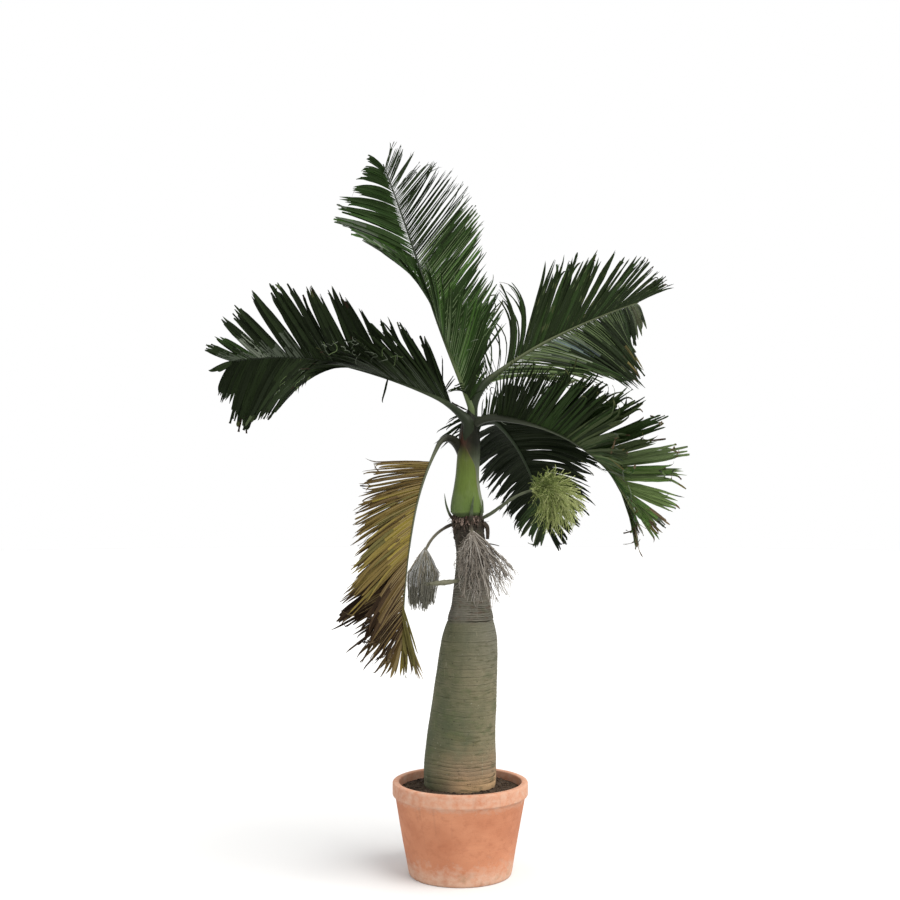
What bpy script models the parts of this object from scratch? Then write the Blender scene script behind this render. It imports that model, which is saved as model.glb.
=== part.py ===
"""A bottle palm in a plain pot: swollen ringed trunk, crownshaft, six fronds, flower and fruit sprays."""

from collections import namedtuple
import math

import bmesh
import bpy
from mathutils import Vector
from mathutils.bvhtree import BVHTree
import numpy as np


# Pot and soil, in metres. The origin is the centre of the pot's flat underside.
POT_HEIGHT = 0.50
POT_RIM_RADIUS = 0.37
POT_FOOT_RADIUS = 0.28
POT_WALL = 0.022
POT_RIM_BAND = 0.075
POT_RIM_STEP = 0.014
SOIL_TOP = 0.475
SOIL_EDGE = 0.455
SOIL_FLAT_RADIUS = 0.21

# Clearance between pieces that touch
SEAT = 0.0003

# The stem's middle line: height and sideways lean of the points that its bends need
STEM_HEIGHTS = (0.475, 0.62, 0.78, 0.93, 1.15, 1.40, 1.70, 2.00, 2.30, 2.56)
STEM_LEANS = (-0.002, 0.000, 0.009, 0.024, 0.041, 0.059, 0.063, 0.039, 0.048, 0.058)

# Trunk: height above the pot's underside and radius, root flare to the scar under the crownshaft
TRUNK_TOP = 1.938
TRUNK_PROFILE = (
    (0.4753, 0.194), (0.53, 0.197), (0.61, 0.196), (0.72, 0.189), (0.85, 0.181), (0.98, 0.173),
    (1.10, 0.165), (1.22, 0.157), (1.29, 0.148), (1.345, 0.134), (1.366, 0.127), (1.39, 0.124),
    (1.45, 0.110), (1.53, 0.101), (1.64, 0.090), (1.75, 0.081), (1.83, 0.083), (1.87, 0.076),
    (TRUNK_TOP, 0.074),
)

# Crownshaft: the rolled leaf sheaths above the scar
SHAFT_PROFILE = (
    (TRUNK_TOP + SEAT, 0.076), (1.955, 0.087), (1.98, 0.0905), (2.02, 0.086), (2.085, 0.074),
    (2.16, 0.0645), (2.24, 0.0625), (2.32, 0.061), (2.40, 0.058), (2.46, 0.053), (2.51, 0.045),
    (2.555, 0.034),
)

TRUNK_SIDES = 32
SHAFT_SIDES = 20
POT_SIDES = 40

# Fronds. Angles are in degrees. heading turns from +X towards +Y. climb is the rib's slope at
# the shares CLIMB_AT of its length. twist rolls the blade about the rib. Each row of leaflets has
# its sweep from the rib, its lift out of the blade's plane, its reach and its sag.
CLIMB_AT = (0.0, 0.15, 0.5, 1.0)
Row = namedtuple("Row", "sweep lift reach sag")
Frond = namedtuple("Frond", "foot length heading climb twist bare thick right left cut")

FRONDS = {
    "top": Frond(
        foot=(0.058, -0.012, 2.55), length=1.50, heading=(158, 151), climb=(68, 66, 71, 67),
        twist=(-20, 20, 45), bare=0.07, thick=0.013, cut=None,
        right=Row(sweep=(50, 56, 30), lift=(70, 50, -60), reach=(0.53, 0.54, 0.53, 0.22), sag=(0, 0)),
        left=Row(sweep=(46, 54, 30), lift=(75, 5, -70), reach=(0.42, 0.55, 0.53, 0.22), sag=(0, 0.25)),
    ),
    "upright": Frond(
        foot=(0.077, 0.030, 2.52), length=1.35, heading=(18, 35), climb=(88, 38, 26, 18),
        twist=(90, 78, 62), bare=0.12, thick=0.013, cut=0.5,
        right=Row(sweep=(36, 42, 30), lift=(20, 5, 5), reach=(0.53, 0.55, 0.47, 0.32), sag=(0, 0)),
        left=Row(sweep=(30, 40, 32), lift=(-20, -10, 55), reach=(0.53, 0.55, 0.52, 0.31), sag=(0.25, 0.25)),
    ),
    "left": Frond(
        foot=(0.028, 0.020, 2.48), length=1.47, heading=(169, 165), climb=(46, 24, 15, -8),
        twist=(10, 50, 80), bare=0.07, thick=0.014, cut=0.5,
        right=Row(sweep=(36, 50, 38), lift=(70, 40, -5), reach=(0.39, 0.55, 0.55, 0.24), sag=(0, 0)),
        left=Row(sweep=(30, 75, 55), lift=(75, 40, -45), reach=(0.53, 0.55, 0.43, 0.23), sag=(0, 0.45)),
    ),
    "right": Frond(
        foot=(0.110, -0.020, 2.445), length=1.10, heading=(-40, -30), climb=(26, -8, -24, -58),
        twist=(-28, -13, -40), bare=0.11, thick=0.014, cut=0.5,
        right=Row(sweep=(70, 70, 28), lift=(75, 75, 0), reach=(0.41, 0.53, 0.49, 0.26), sag=(0, 0.2)),
        left=Row(sweep=(78, 56, 42), lift=(58, 75, 30), reach=(0.49, 0.55, 0.50, 0.23), sag=(0, 0)),
    ),
    "back": Frond(
        foot=(0.128, 0.040, 2.47), length=1.15, heading=(55, 74), climb=(8, -24, -38, -46),
        twist=(-2, 2, 3), bare=0.07, thick=0.013, cut=0.5,
        right=Row(sweep=(54, 35, 28), lift=(12, 30, 17), reach=(0.53, 0.54, 0.38, 0.24), sag=(0.32, 0.16)),
        left=Row(sweep=(60, 37, 23), lift=(22, 20, 11), reach=(0.52, 0.53, 0.36, 0.23), sag=(0.2, 0.13)),
    ),
    "old": Frond(
        foot=(0.000, -0.050, 2.34), length=1.24, heading=(-135, -143), climb=(45, -55, -77, -90),
        twist=(-34, -35, -22), bare=0.21, thick=0.013, cut=0.5,
        right=Row(sweep=(44, 35, 39), lift=(75, 75, 8), reach=(0.44, 0.49, 0.42, 0.23), sag=(0.6, 0.35)),
        left=Row(sweep=(56, 37, 38), lift=(73, 74, -32), reach=(0.39, 0.49, 0.45, 0.24), sag=(0.4, 0.25)),
    ),
}

LEAFLET_PAIRS = 31
LEAFLET_WIDTH = 0.032
LEAFLET_THICK = 0.006
LEAFLET_WIDEST = 0.42
RIB_STEPS = 60
RIB_RINGS = 12
RIB_SIDES = 6
RIB_CROWDING = 1.6
RIB_TIP_SHARE = 0.28
PETIOLE_ROOT = 0.07
BLADE_CLEARANCE = 0.0012
CUT_ROOM = 1.3

# Flower and fruit sprays: the stalk's path, the core's rings as centre and half sizes, and strands
STRAND_RADIUS = 0.0036
STRAND_CLEARANCE = 0.0015
CORE_SIDES = 10
STALK_SIDES = 8
Spray = namedtuple("Spray", "stalk stalk_radii core strands reach spread droop seed")

SPRAYS = {
    "green": Spray(
        stalk=((0.06, 0.0, 1.912), (0.105, 0.0, 1.922), (0.16, -0.012, 1.949), (0.242, -0.035, 2.007),
               (0.32, -0.05, 2.056), (0.40, -0.05, 2.086)),
        stalk_radii=(0.014, 0.013, 0.012, 0.011, 0.010, 0.009),
        core=(((0.43, -0.05, 2.09), 0.009, 0.009), ((0.45, -0.05, 2.09), 0.045, 0.045),
              ((0.49, -0.05, 2.075), 0.085, 0.075), ((0.545, -0.05, 2.04), 0.11, 0.085),
              ((0.60, -0.05, 2.01), 0.085, 0.07), ((0.635, -0.05, 1.99), 0.03, 0.03)),
        strands=58, reach=(0.14, 0.125, 0.172), spread="round", droop=0.035, seed=3,
    ),
    "grey_left": Spray(
        stalk=((0.02, 0.020, 1.906), (-0.033, 0.036, 1.897), (-0.082, 0.036, 1.875), (-0.132, 0.028, 1.838),
               (-0.168, 0.020, 1.794), (-0.190, 0.014, 1.750)),
        stalk_radii=(0.010, 0.0095, 0.009, 0.0085, 0.008, 0.007),
        core=(((-0.193, 0.012, 1.735), 0.008, 0.008), ((-0.197, 0.012, 1.715), 0.028, 0.026),
              ((-0.204, 0.012, 1.66), 0.056, 0.050), ((-0.208, 0.012, 1.58), 0.066, 0.060),
              ((-0.206, 0.012, 1.50), 0.054, 0.050), ((-0.203, 0.012, 1.465), 0.026, 0.024)),
        strands=36, reach=(0.078, 0.072, 0.0), spread="down", droop=0.0, seed=5,
    ),
    "grey_front": Spray(
        stalk=((0.055, -0.04, 1.895), (0.057, -0.082, 1.888), (0.060, -0.104, 1.872), (0.063, -0.112, 1.850)),
        stalk_radii=(0.012, 0.012, 0.011, 0.010),
        core=(((0.065, -0.115, 1.833), 0.010, 0.010), ((0.070, -0.122, 1.812), 0.026, 0.017),
              ((0.092, -0.140, 1.740), 0.060, 0.030), ((0.120, -0.156, 1.650), 0.088, 0.038),
              ((0.135, -0.166, 1.560), 0.086, 0.036), ((0.140, -0.166, 1.505), 0.040, 0.022)),
        strands=52, reach=(0.175, 0.065, 0.0), spread="down", droop=0.0, seed=8,
    ),
}

# Pointed spathes round the scar: path from inside the stem to the tip
SPATHE_RADIUS = 0.0085
SPATHES = {
    "left": ((-0.005, 0.0, 1.895), (-0.050, -0.004, 1.938), (-0.074, -0.008, 1.995), (-0.086, -0.010, 2.065)),
    "front": ((0.052, -0.045, 1.895), (0.058, -0.092, 1.935), (0.063, -0.107, 1.985), (0.073, -0.100, 2.050)),
    "right": ((0.080, -0.028, 1.895), (0.112, -0.052, 1.938), (0.122, -0.064, 1.985), (0.124, -0.060, 2.032)),
}
OLD_STALK = ((0.020, -0.045, 1.600), (-0.030, -0.098, 1.590), (-0.100, -0.122, 1.583), (-0.165, -0.130, 1.578))
OLD_STALK_RADII = (0.011, 0.011, 0.015, 0.009)


# Small mesh helpers

def remove_all_objects():
    for obj in list(bpy.data.objects):
        bpy.data.objects.remove(obj)


def add_object(name, bm):
    bmesh.ops.recalc_face_normals(bm, faces=bm.faces)
    mesh = bpy.data.meshes.new(name)
    bm.to_mesh(mesh)
    bm.free()
    obj = bpy.data.objects.new(name, mesh)
    bpy.context.scene.collection.objects.link(obj)
    return obj


def add_loft(name, rings):
    """A closed body through rings of points. A ring of one point closes an end to a tip."""
    bm = bmesh.new()
    rows = [[bm.verts.new(point) for point in ring] for ring in rings]
    for low, high in zip(rows, rows[1:]):
        count = max(len(low), len(high))
        for i in range(count):
            j = (i + 1) % count
            corners = [low[i % len(low)], low[j % len(low)], high[j % len(high)], high[i % len(high)]]
            bm.faces.new(list(dict.fromkeys(corners)))
    for row in (rows[0], rows[-1]):
        if len(row) > 2:
            bm.faces.new(row)
    return add_object(name, bm)


def circle(centre, radius, sides, across=(1, 0, 0), up=(0, 1, 0)):
    centre, across, up = (np.asarray(v, float) for v in (centre, across, up))
    angles = [2 * math.pi * i / sides for i in range(sides)]
    return [centre + radius * (math.cos(a) * across + math.sin(a) * up) for a in angles]


def add_tube(name, points, radii, sides, tangents=None):
    """A closed tube along a path, its rings carried along without twisting."""
    points = np.asarray(points, float)
    if tangents is None:
        tangents = np.gradient(points, axis=0)
        tangents /= np.linalg.norm(tangents, axis=1)[:, None]
    seed = (0, 0, 1) if abs(tangents[0][2]) < 0.8 else (1, 0, 0)
    side = np.cross(tangents[0], seed)
    rings = []
    for point, tangent, radius in zip(points, tangents, radii):
        side = side - tangent * (side @ tangent)
        side /= np.linalg.norm(side)
        rings.append(circle(point, radius, sides, side, np.cross(tangent, side)))
    return add_loft(name, rings)


def boolean(target, operation, other, solver="EXACT"):
    """Applies one Boolean of an object or a collection, then removes what was used."""
    modifier = target.modifiers.new(operation.title(), "BOOLEAN")
    modifier.operation = operation
    modifier.solver = solver
    if isinstance(other, bpy.types.Collection):
        modifier.operand_type = "COLLECTION"
        modifier.collection = other
        used = list(other.objects)
    else:
        modifier.object = other
        used = [other]
    graph = bpy.context.evaluated_depsgraph_get()
    mesh = bpy.data.meshes.new_from_object(target.evaluated_get(graph))
    target.modifiers.clear()
    target.data = mesh
    for obj in used:
        bpy.data.objects.remove(obj)


def shells(bm):
    """The connected pieces of a mesh, each with its signed volume."""
    left = set(bm.verts)
    found = []
    while left:
        stack = [left.pop()]
        piece = set(stack)
        while stack:
            for edge in stack.pop().link_edges:
                for vert in edge.verts:
                    if vert in left:
                        left.discard(vert)
                        piece.add(vert)
                        stack.append(vert)
        faces = {face for vert in piece for face in vert.link_faces}
        volume = 0.0
        for face in faces:
            a = face.verts[0].co
            for b, c in zip(face.verts[1:], face.verts[2:]):
                volume += a.dot(b.co.cross(c.co)) / 6
        found.append((volume, piece))
    return sorted(found, key=lambda item: -abs(item[0]))


def keep_main_shell(obj):
    """Fills sealed hollows and drops loose scraps, so that one closed body is left."""
    bm = bmesh.new()
    bm.from_mesh(obj.data)
    for _, piece in shells(bm)[1:]:
        bmesh.ops.delete(bm, geom=list(piece), context="VERTS")
    bm.to_mesh(obj.data)
    bm.free()


def unite(target, parts):
    """One Boolean union of a collection of parts onto a stem."""
    group = bpy.data.collections.new(target.name + "_parts")
    bpy.context.scene.collection.children.link(group)
    for part in parts:
        bpy.context.scene.collection.objects.unlink(part)
        group.objects.link(part)
    boolean(target, "UNION", group)
    bpy.data.collections.remove(group)
    keep_main_shell(target)
    return target


def tree_of(obj):
    bm = bmesh.new()
    bm.from_mesh(obj.data)
    tree = BVHTree.FromBMesh(bm)
    bm.free()
    return tree


def paint(obj, name, colour, roughness, metallic=0.0):
    material = bpy.data.materials.get(name) or bpy.data.materials.new(name)
    material.use_nodes = True
    shader = material.node_tree.nodes["Principled BSDF"]
    shader.inputs["Base Color"].default_value = (*colour, 1.0)
    shader.inputs["Roughness"].default_value = roughness
    shader.inputs["Metallic"].default_value = metallic
    obj.data.materials.clear()
    obj.data.materials.append(material)


def smooth(obj, degrees=40):
    obj.data.shade_smooth()
    obj.data.set_sharp_from_angle(angle=math.radians(degrees))


# Pot and soil

def add_pot():
    band = POT_HEIGHT - POT_RIM_BAND
    slope = (POT_RIM_RADIUS - POT_RIM_STEP - POT_FOOT_RADIUS) / band
    floor = POT_WALL * 1.3
    inner = POT_RIM_RADIUS - POT_RIM_STEP - POT_WALL
    outline = (
        (POT_FOOT_RADIUS - 0.004, 0.0), (POT_FOOT_RADIUS, 0.004),
        (POT_FOOT_RADIUS + slope * band * 0.5, band * 0.5), (POT_FOOT_RADIUS + slope * band, band),
        (POT_RIM_RADIUS - 0.003, band + 0.004), (POT_RIM_RADIUS, band + 0.010),
        (POT_RIM_RADIUS, POT_HEIGHT - 0.010), (POT_RIM_RADIUS - 0.004, POT_HEIGHT - 0.002),
        (POT_RIM_RADIUS - 0.010, POT_HEIGHT), (inner + 0.004, POT_HEIGHT), (inner, POT_HEIGHT - 0.006),
        (inner - slope * (POT_HEIGHT - floor), floor),
    )
    rings = [circle((0, 0, z), r, POT_SIDES) for r, z in outline]
    pot = add_loft("pot", rings)
    smooth(pot)
    paint(pot, "terracotta", (0.47, 0.20, 0.11), 0.8)
    return pot


def add_soil():
    band = POT_HEIGHT - POT_RIM_BAND
    slope = (POT_RIM_RADIUS - POT_RIM_STEP - POT_FOOT_RADIUS) / band
    floor = POT_WALL * 1.3
    inner = POT_RIM_RADIUS - POT_RIM_STEP - POT_WALL

    def wall(z):
        return inner - slope * (POT_HEIGHT - z) - 2 * SEAT

    outline = (
        (wall(floor), floor + SEAT), (wall(SOIL_EDGE), SOIL_EDGE),
        (SOIL_FLAT_RADIUS + 0.05, SOIL_TOP - 0.004), (SOIL_FLAT_RADIUS, SOIL_TOP),
    )
    soil = add_loft("soil", [circle((0, 0, z), r, POT_SIDES) for r, z in outline])
    smooth(soil)
    paint(soil, "soil", (0.055, 0.036, 0.024), 0.95)
    return soil


# Stem: trunk and crownshaft on one leaning middle line

def ease(heights, values, z):
    """A smooth reading between named points: each stretch is a cubic with the points' own slopes."""
    heights, values = np.asarray(heights, float), np.asarray(values, float)
    slopes = np.gradient(values, heights)
    i = int(np.clip(np.searchsorted(heights, z) - 1, 0, len(heights) - 2))
    span = heights[i + 1] - heights[i]
    t = np.clip((z - heights[i]) / span, 0, 1)
    a, b = values[i], values[i + 1]
    p, q = slopes[i] * span, slopes[i + 1] * span
    return (2 * t**3 - 3 * t**2 + 1) * a + (t**3 - 2 * t**2 + t) * p + (3 * t**2 - 2 * t**3) * b + (t**3 - t**2) * q


def stem_centre(z):
    return (ease(STEM_HEIGHTS, STEM_LEANS, z), 0.0, z)


def stem_rings(profile, sides, grow=0.0):
    """Rings of a stem piece. grow swells it, for a cutter that leaves clearance."""
    heights = [z for z, _ in profile]
    radii = [r for _, r in profile]
    rings = []
    for k, (z, r) in enumerate(zip(heights, radii)):
        ends = {0: -grow, len(radii) - 1: grow}
        rings.append(circle(stem_centre(z + ends.get(k, 0.0)), r + grow, sides))
    return rings


def add_trunk():
    trunk = add_loft("trunk", stem_rings(TRUNK_PROFILE, TRUNK_SIDES))
    smooth(trunk)
    paint(trunk, "bark", (0.33, 0.33, 0.27), 0.85)
    return trunk


def add_crownshaft():
    shaft = add_loft("crownshaft", stem_rings(SHAFT_PROFILE, SHAFT_SIDES))
    smooth(shaft)
    paint(shaft, "sheath_green", (0.27, 0.38, 0.13), 0.45)
    return shaft


def cut_clear_of_stem(obj):
    """Takes the trunk's and the crownshaft's space, and a small clearance, out of a piece."""
    for profile, sides in ((TRUNK_PROFILE, TRUNK_SIDES), (SHAFT_PROFILE, SHAFT_SIDES)):
        cutter = add_loft("cutter", stem_rings(profile, sides, SEAT))
        boolean(obj, "DIFFERENCE", cutter)
    keep_main_shell(obj)


# Fronds

def rib_frame(frond):
    """Shares, points, directions and the blade's side and upper directions along a rib."""
    share = np.linspace(0, 1, RIB_STEPS + 1)
    heading = np.radians(np.interp(share, (0, 1), frond.heading))
    climb = np.radians(np.interp(share, CLIMB_AT, frond.climb))
    along = np.stack([np.cos(climb) * np.cos(heading), np.cos(climb) * np.sin(heading), np.sin(climb)], -1)
    steps = along[1:] + along[:-1]
    steps *= frond.length / RIB_STEPS / np.linalg.norm(steps, axis=1)[:, None]
    points = np.vstack([frond.foot, np.asarray(frond.foot) + np.cumsum(steps, axis=0)])
    level = np.stack([np.sin(heading), -np.cos(heading), 0 * heading], -1)
    above = np.cross(level, along)
    roll = np.radians(np.interp(share, (0, 0.5, 1), frond.twist))[:, None]
    side = np.cos(roll) * level + np.sin(roll) * above
    return share, points, along, side, np.cross(side, along)


def at(frame, share):
    """The rib's point and directions at one share of its length."""
    values = [np.array([np.interp(share, frame[0], v[:, k]) for k in range(3)]) for v in frame[1:]]
    return [values[0]] + [v / np.linalg.norm(v) for v in values[1:]]


def rib_radius(frond, share):
    return frond.thick * (1 - (1 - RIB_TIP_SHARE) * share**0.8)


def leaflet_line(frame, frond, row, sign, u):
    """A leaflet's base, direction, blade-wise direction, reach and sag, u of the way out."""
    share = frond.bare + (0.985 - frond.bare) * u
    point, along, side, above = at(frame, share)
    sweep, lift = (math.radians(np.interp(u, (0, 0.5, 1), v)) for v in (row.sweep, row.lift))
    reach = np.interp(u, (0, 1 / 3, 2 / 3, 1), row.reach)
    sag = np.interp(u, (0, 1), row.sag)
    out = math.cos(lift) * sign * side + math.sin(lift) * above
    direction = math.cos(sweep) * along + math.sin(sweep) * out
    across = along - direction * (along @ direction)
    return share, point, direction, across / np.linalg.norm(across), reach, sag


def leaflet_rings(point, direction, across, reach, sag, width, thick, start):
    """Three-sided rings of a leaflet: narrow at the rib, widest part-way, and a tip."""
    def spine(t):
        return point + reach * (t * direction - np.array([0, 0, sag * t * t]))

    keel = np.cross(direction, across)
    rings = []
    for t, share in ((start / reach, 0.34), (LEAFLET_WIDEST, 1.0)):
        half = width / 2 * share
        depth = thick * (0.7 + 0.3 * share)
        centre = spine(t)
        rings.append([
            centre + across * half - keel * depth / 3,
            centre + keel * depth * 2 / 3,
            centre - across * half - keel * depth / 3,
        ])
    rings.append([spine(1.0)])
    return rings


def add_leaflet(line, radius, blocked, tip_room):
    """One leaflet, narrowed or shortened until it is clear of what is already there."""
    share, point, direction, across, reach, sag = line
    for width_share, reach_share in ((1, 1), (0.7, 1), (0.6, 0.8), (0.6, 0.6), (0.6, 0.45)):
        width = LEAFLET_WIDTH * width_share * tip_room
        start = radius * 0.35
        args = (point, direction, across, reach * reach_share, sag)
        probe = add_loft("probe", leaflet_rings(*args, width + 2 * BLADE_CLEARANCE, LEAFLET_THICK * 1.5, start))
        tree = tree_of(probe)
        bpy.data.objects.remove(probe)
        if any(tree.overlap(other) for other in blocked):
            continue
        return add_loft("leaflet", leaflet_rings(*args, width, LEAFLET_THICK, start))
    return None


def add_frond_part(name, frond, frame, start, end, blocked, colour):
    """One stretch of a frond: its rib, from start to end, with the leaflets that it carries."""
    count = RIB_RINGS if frond.cut is None else RIB_RINGS * 2 // 3
    shares = start + (end - start) * np.linspace(0, 1, count) ** (RIB_CROWDING if start == 0 else 1)
    points, tangents = zip(*(at(frame, s)[:2] for s in shares))
    radii = [rib_radius(frond, s) for s in shares]
    if start == 0:
        points = (points[0] - tangents[0] * PETIOLE_ROOT, *points)
        tangents = (tangents[0], *tangents)
        radii.insert(0, radii[0])
    rib = add_tube(name, points, radii, RIB_SIDES, tangents)
    leaflets = []
    for sign, row in ((1, frond.right), (-1, frond.left)):
        for k in range(LEAFLET_PAIRS):
            u = (k + (0.5 if sign < 0 else 0.0)) / (LEAFLET_PAIRS - 0.5)
            line = leaflet_line(frame, frond, row, sign, u)
            radius = rib_radius(frond, line[0])
            room = CUT_ROOM * radius / frond.length
            if not start + (room if start else 0) <= line[0] <= end - (room if end < 1 else 0):
                continue
            tip_room = 1 - 0.35 * u
            leaflet = add_leaflet(line, radius, blocked, tip_room)
            if leaflet:
                leaflets.append(leaflet)
    unite(rib, leaflets)
    if start == 0:
        cut_clear_of_stem(rib)
    smooth(rib, 30)
    paint(rib, *colour)
    return rib


FROND_PAINT = {
    "top": ("leaf_bright", (0.10, 0.21, 0.06), 0.5),
    "upright": ("leaf_green", (0.07, 0.13, 0.05), 0.5),
    "left": ("leaf_dark", (0.045, 0.085, 0.035), 0.5),
    "right": ("leaf_green", (0.07, 0.13, 0.05), 0.5),
    "back": ("leaf_dark", (0.045, 0.085, 0.035), 0.5),
    "old": ("leaf_yellowed", (0.36, 0.26, 0.07), 0.6),
}


def add_fronds(blocked):
    """All fronds, with each new blade kept clear of those made before."""
    nodes = []
    for name, frond in FRONDS.items():
        frame = rib_frame(frond)
        gap = SEAT / 2 / frond.length
        if frond.cut is None:
            stretches = [("frond_" + name, 0, 1)]
        else:
            stretches = [
                (f"frond_{name}_outer", frond.cut + gap, 1),
                (f"frond_{name}_inner", 0, frond.cut - gap),
            ]
        for node, start, end in stretches:
            part = add_frond_part(node, frond, frame, start, end, blocked, FROND_PAINT[name])
            blocked.append(tree_of(part))
            nodes.append(part)
    return nodes


# Sprays, spathes and the old stalk

def rounded_path(points, steps):
    """A smooth path through a few named points, by share of their chord."""
    points = np.asarray(points, float)
    chord = np.concatenate([[0], np.cumsum(np.linalg.norm(np.diff(points, axis=0), axis=1))])
    places = np.linspace(0, chord[-1], steps)
    return [[ease(chord, points[:, k], place) for k in range(3)] for place in places]


def add_stalk(name, points, radii, steps=9):
    """A stalk that leaves the stem, cut clear of it."""
    path = rounded_path(points, steps)
    shares = np.linspace(0, 1, len(radii))
    stalk = add_tube(name, path, np.interp(np.linspace(0, 1, steps), shares, radii), STALK_SIDES)
    cut_clear_of_stem(stalk)
    smooth(stalk)
    return stalk


def add_core(name, spray):
    """The stem and the dense middle of a spray. Its stem starts a hair from the stalk's end."""
    end = np.asarray(rounded_path(spray.stalk, 9))
    along = (end[-1] - end[-2]) / np.linalg.norm(end[-1] - end[-2])
    first = end[-1] + along * SEAT
    centres = np.array([first, *(c for c, _, _ in spray.core)])
    tangents = np.gradient(centres, axis=0)
    tangents[0] = along
    rings = []
    sizes = [(spray.stalk_radii[-1],) * 2, *((a, b) for _, a, b in spray.core)]
    for centre, tangent, (wide, deep) in zip(centres, tangents, sizes):
        tangent = tangent / np.linalg.norm(tangent)
        across = np.cross((0, 1, 0), tangent)
        across /= np.linalg.norm(across)
        behind = np.cross(tangent, across)
        rings.append(circle(centre, 1, CORE_SIDES, across * wide, behind * deep))
    return add_loft(name, rings)


def strand_paths(spray, rng):
    """Start, middle and end of each strand that stands out of a spray's core."""
    centres = np.array([c for c, _, _ in spray.core])
    middle = centres[1:-1].mean(axis=0)
    golden = math.pi * (3 - math.sqrt(5))
    for k in range(spray.strands):
        turn = golden * k + rng.uniform(-0.2, 0.2)
        if spray.spread == "round":
            rise = 1 - 2 * (k + 0.5) / spray.strands
            flat = math.sqrt(1 - rise * rise)
            out = np.array([flat * math.cos(turn), flat * math.sin(turn), rise])
            size = np.array(spray.reach) * rng.uniform(0.92, 1.0)
            start, end = middle + out * size * 0.3, middle + out * size
            end = end - (0, 0, spray.droop * flat)
            bend = (start + end) / 2 + (0, 0, spray.droop * 0.8)
        else:
            level = (k + 0.5) / spray.strands
            top, low = centres[1], centres[-1]
            out = np.array([math.cos(turn), math.sin(turn), 0]) * (*spray.reach[:2], 0)
            depth = 0.35 + 0.65 * level
            start = top + (low - top) * (0.25 + 0.65 * level)
            end = low + out * (1.25 - 0.75 * level) + (0, 0, 0.14 * (1 - level) - 0.065 * rng.uniform(0.7, 1.0))
            bend = (start + end) / 2 + out * 0.25 * depth
        yield start, bend, end


def add_strand(start, bend, end, radius):
    def ring(centre, size):
        along = (end - start) / np.linalg.norm(end - start)
        across = np.cross(along, (0.3, 1, 0.2))
        across /= np.linalg.norm(across)
        return circle(centre, size, 3, across, np.cross(along, across))

    return add_loft("strand", [ring(start, radius), ring(bend, radius * 0.9), [end]])


def add_spray(name, spray, blocked):
    """A spray's core with its strands fused on, each strand clear of what is already there."""
    body = add_core(name, spray)
    rng = np.random.default_rng(spray.seed)
    strands = []
    for path in strand_paths(spray, rng):
        probe = add_strand(*path, STRAND_RADIUS + STRAND_CLEARANCE)
        tree = tree_of(probe)
        bpy.data.objects.remove(probe)
        if not any(tree.overlap(other) for other in blocked):
            strands.append(add_strand(*path, STRAND_RADIUS))
    unite(body, strands)
    smooth(body, 30)
    return body


def add_sprays_and_spathes(blocked):
    olive = ("strand_green", (0.36, 0.40, 0.10), 0.6)
    grey = ("strand_grey", (0.30, 0.26, 0.23), 0.85)
    stalk_green = ("stalk_green", (0.16, 0.24, 0.08), 0.5)
    for name, points in SPATHES.items():
        radii = (SPATHE_RADIUS, SPATHE_RADIUS, SPATHE_RADIUS * 0.7, 0.0012)
        spathe = add_stalk("spathe_" + name, points, radii, 7)
        paint(spathe, *stalk_green)
        blocked.append(tree_of(spathe))
    old = add_stalk("old_stalk", OLD_STALK, OLD_STALK_RADII)
    paint(old, "stalk_dry", (0.24, 0.24, 0.12), 0.8)
    blocked.append(tree_of(old))
    for name, spray in SPRAYS.items():
        fresh = name == "green"
        stalk = add_stalk(f"spray_{name}_stalk", spray.stalk, spray.stalk_radii)
        paint(stalk, *(stalk_green if fresh else grey))
        blocked.append(tree_of(stalk))
        body = add_spray("spray_" + name, spray, [*blocked[:-1]])
        paint(body, *(olive if fresh else grey))
        blocked.append(tree_of(body))


def main():
    remove_all_objects()
    add_pot()
    add_soil()
    trunk = add_trunk()
    shaft = add_crownshaft()
    blocked = [tree_of(trunk), tree_of(shaft)]
    add_sprays_and_spathes(blocked)
    add_fronds(blocked)


main()
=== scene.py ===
from collections import namedtuple
import math

import bpy
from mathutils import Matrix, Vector
import numpy as np


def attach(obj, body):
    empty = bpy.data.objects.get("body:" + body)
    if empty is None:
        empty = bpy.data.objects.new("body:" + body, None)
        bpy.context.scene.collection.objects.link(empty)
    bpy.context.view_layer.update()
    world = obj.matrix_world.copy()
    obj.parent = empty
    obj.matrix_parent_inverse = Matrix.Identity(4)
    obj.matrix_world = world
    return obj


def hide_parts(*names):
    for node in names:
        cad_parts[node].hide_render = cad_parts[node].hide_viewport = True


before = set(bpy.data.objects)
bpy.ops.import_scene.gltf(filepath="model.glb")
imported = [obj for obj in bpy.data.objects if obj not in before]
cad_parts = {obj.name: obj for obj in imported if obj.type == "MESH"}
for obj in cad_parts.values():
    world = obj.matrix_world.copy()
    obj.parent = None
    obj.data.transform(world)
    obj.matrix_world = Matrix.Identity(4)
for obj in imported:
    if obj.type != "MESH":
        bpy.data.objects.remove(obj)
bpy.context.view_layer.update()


# Camera, light and floor

scene = bpy.context.scene
scene.view_settings.view_transform = "Standard"
scene.view_settings.look = "None"

camera_data = bpy.data.cameras.new("camera")
camera_data.sensor_width = 36.0
camera_data.lens = 51.636
camera = bpy.data.objects.new("camera", camera_data)
camera.location = (-0.055, -7.1, 2.0777)
camera.rotation_euler = (math.radians(90 + 1.82), 0, 0)
scene.collection.objects.link(camera)
scene.camera = camera

sun_data = bpy.data.lights.new("sun", "SUN")
sun_data.energy = 3.2
sun_data.angle = math.radians(50)
sun_data.color = (1.0, 0.985, 0.95)
sun = bpy.data.objects.new("sun", sun_data)
sun.rotation_euler = Vector((-0.60, 0.42, -1.0)).to_track_quat("-Z", "Y").to_euler()
scene.collection.objects.link(sun)

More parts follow.
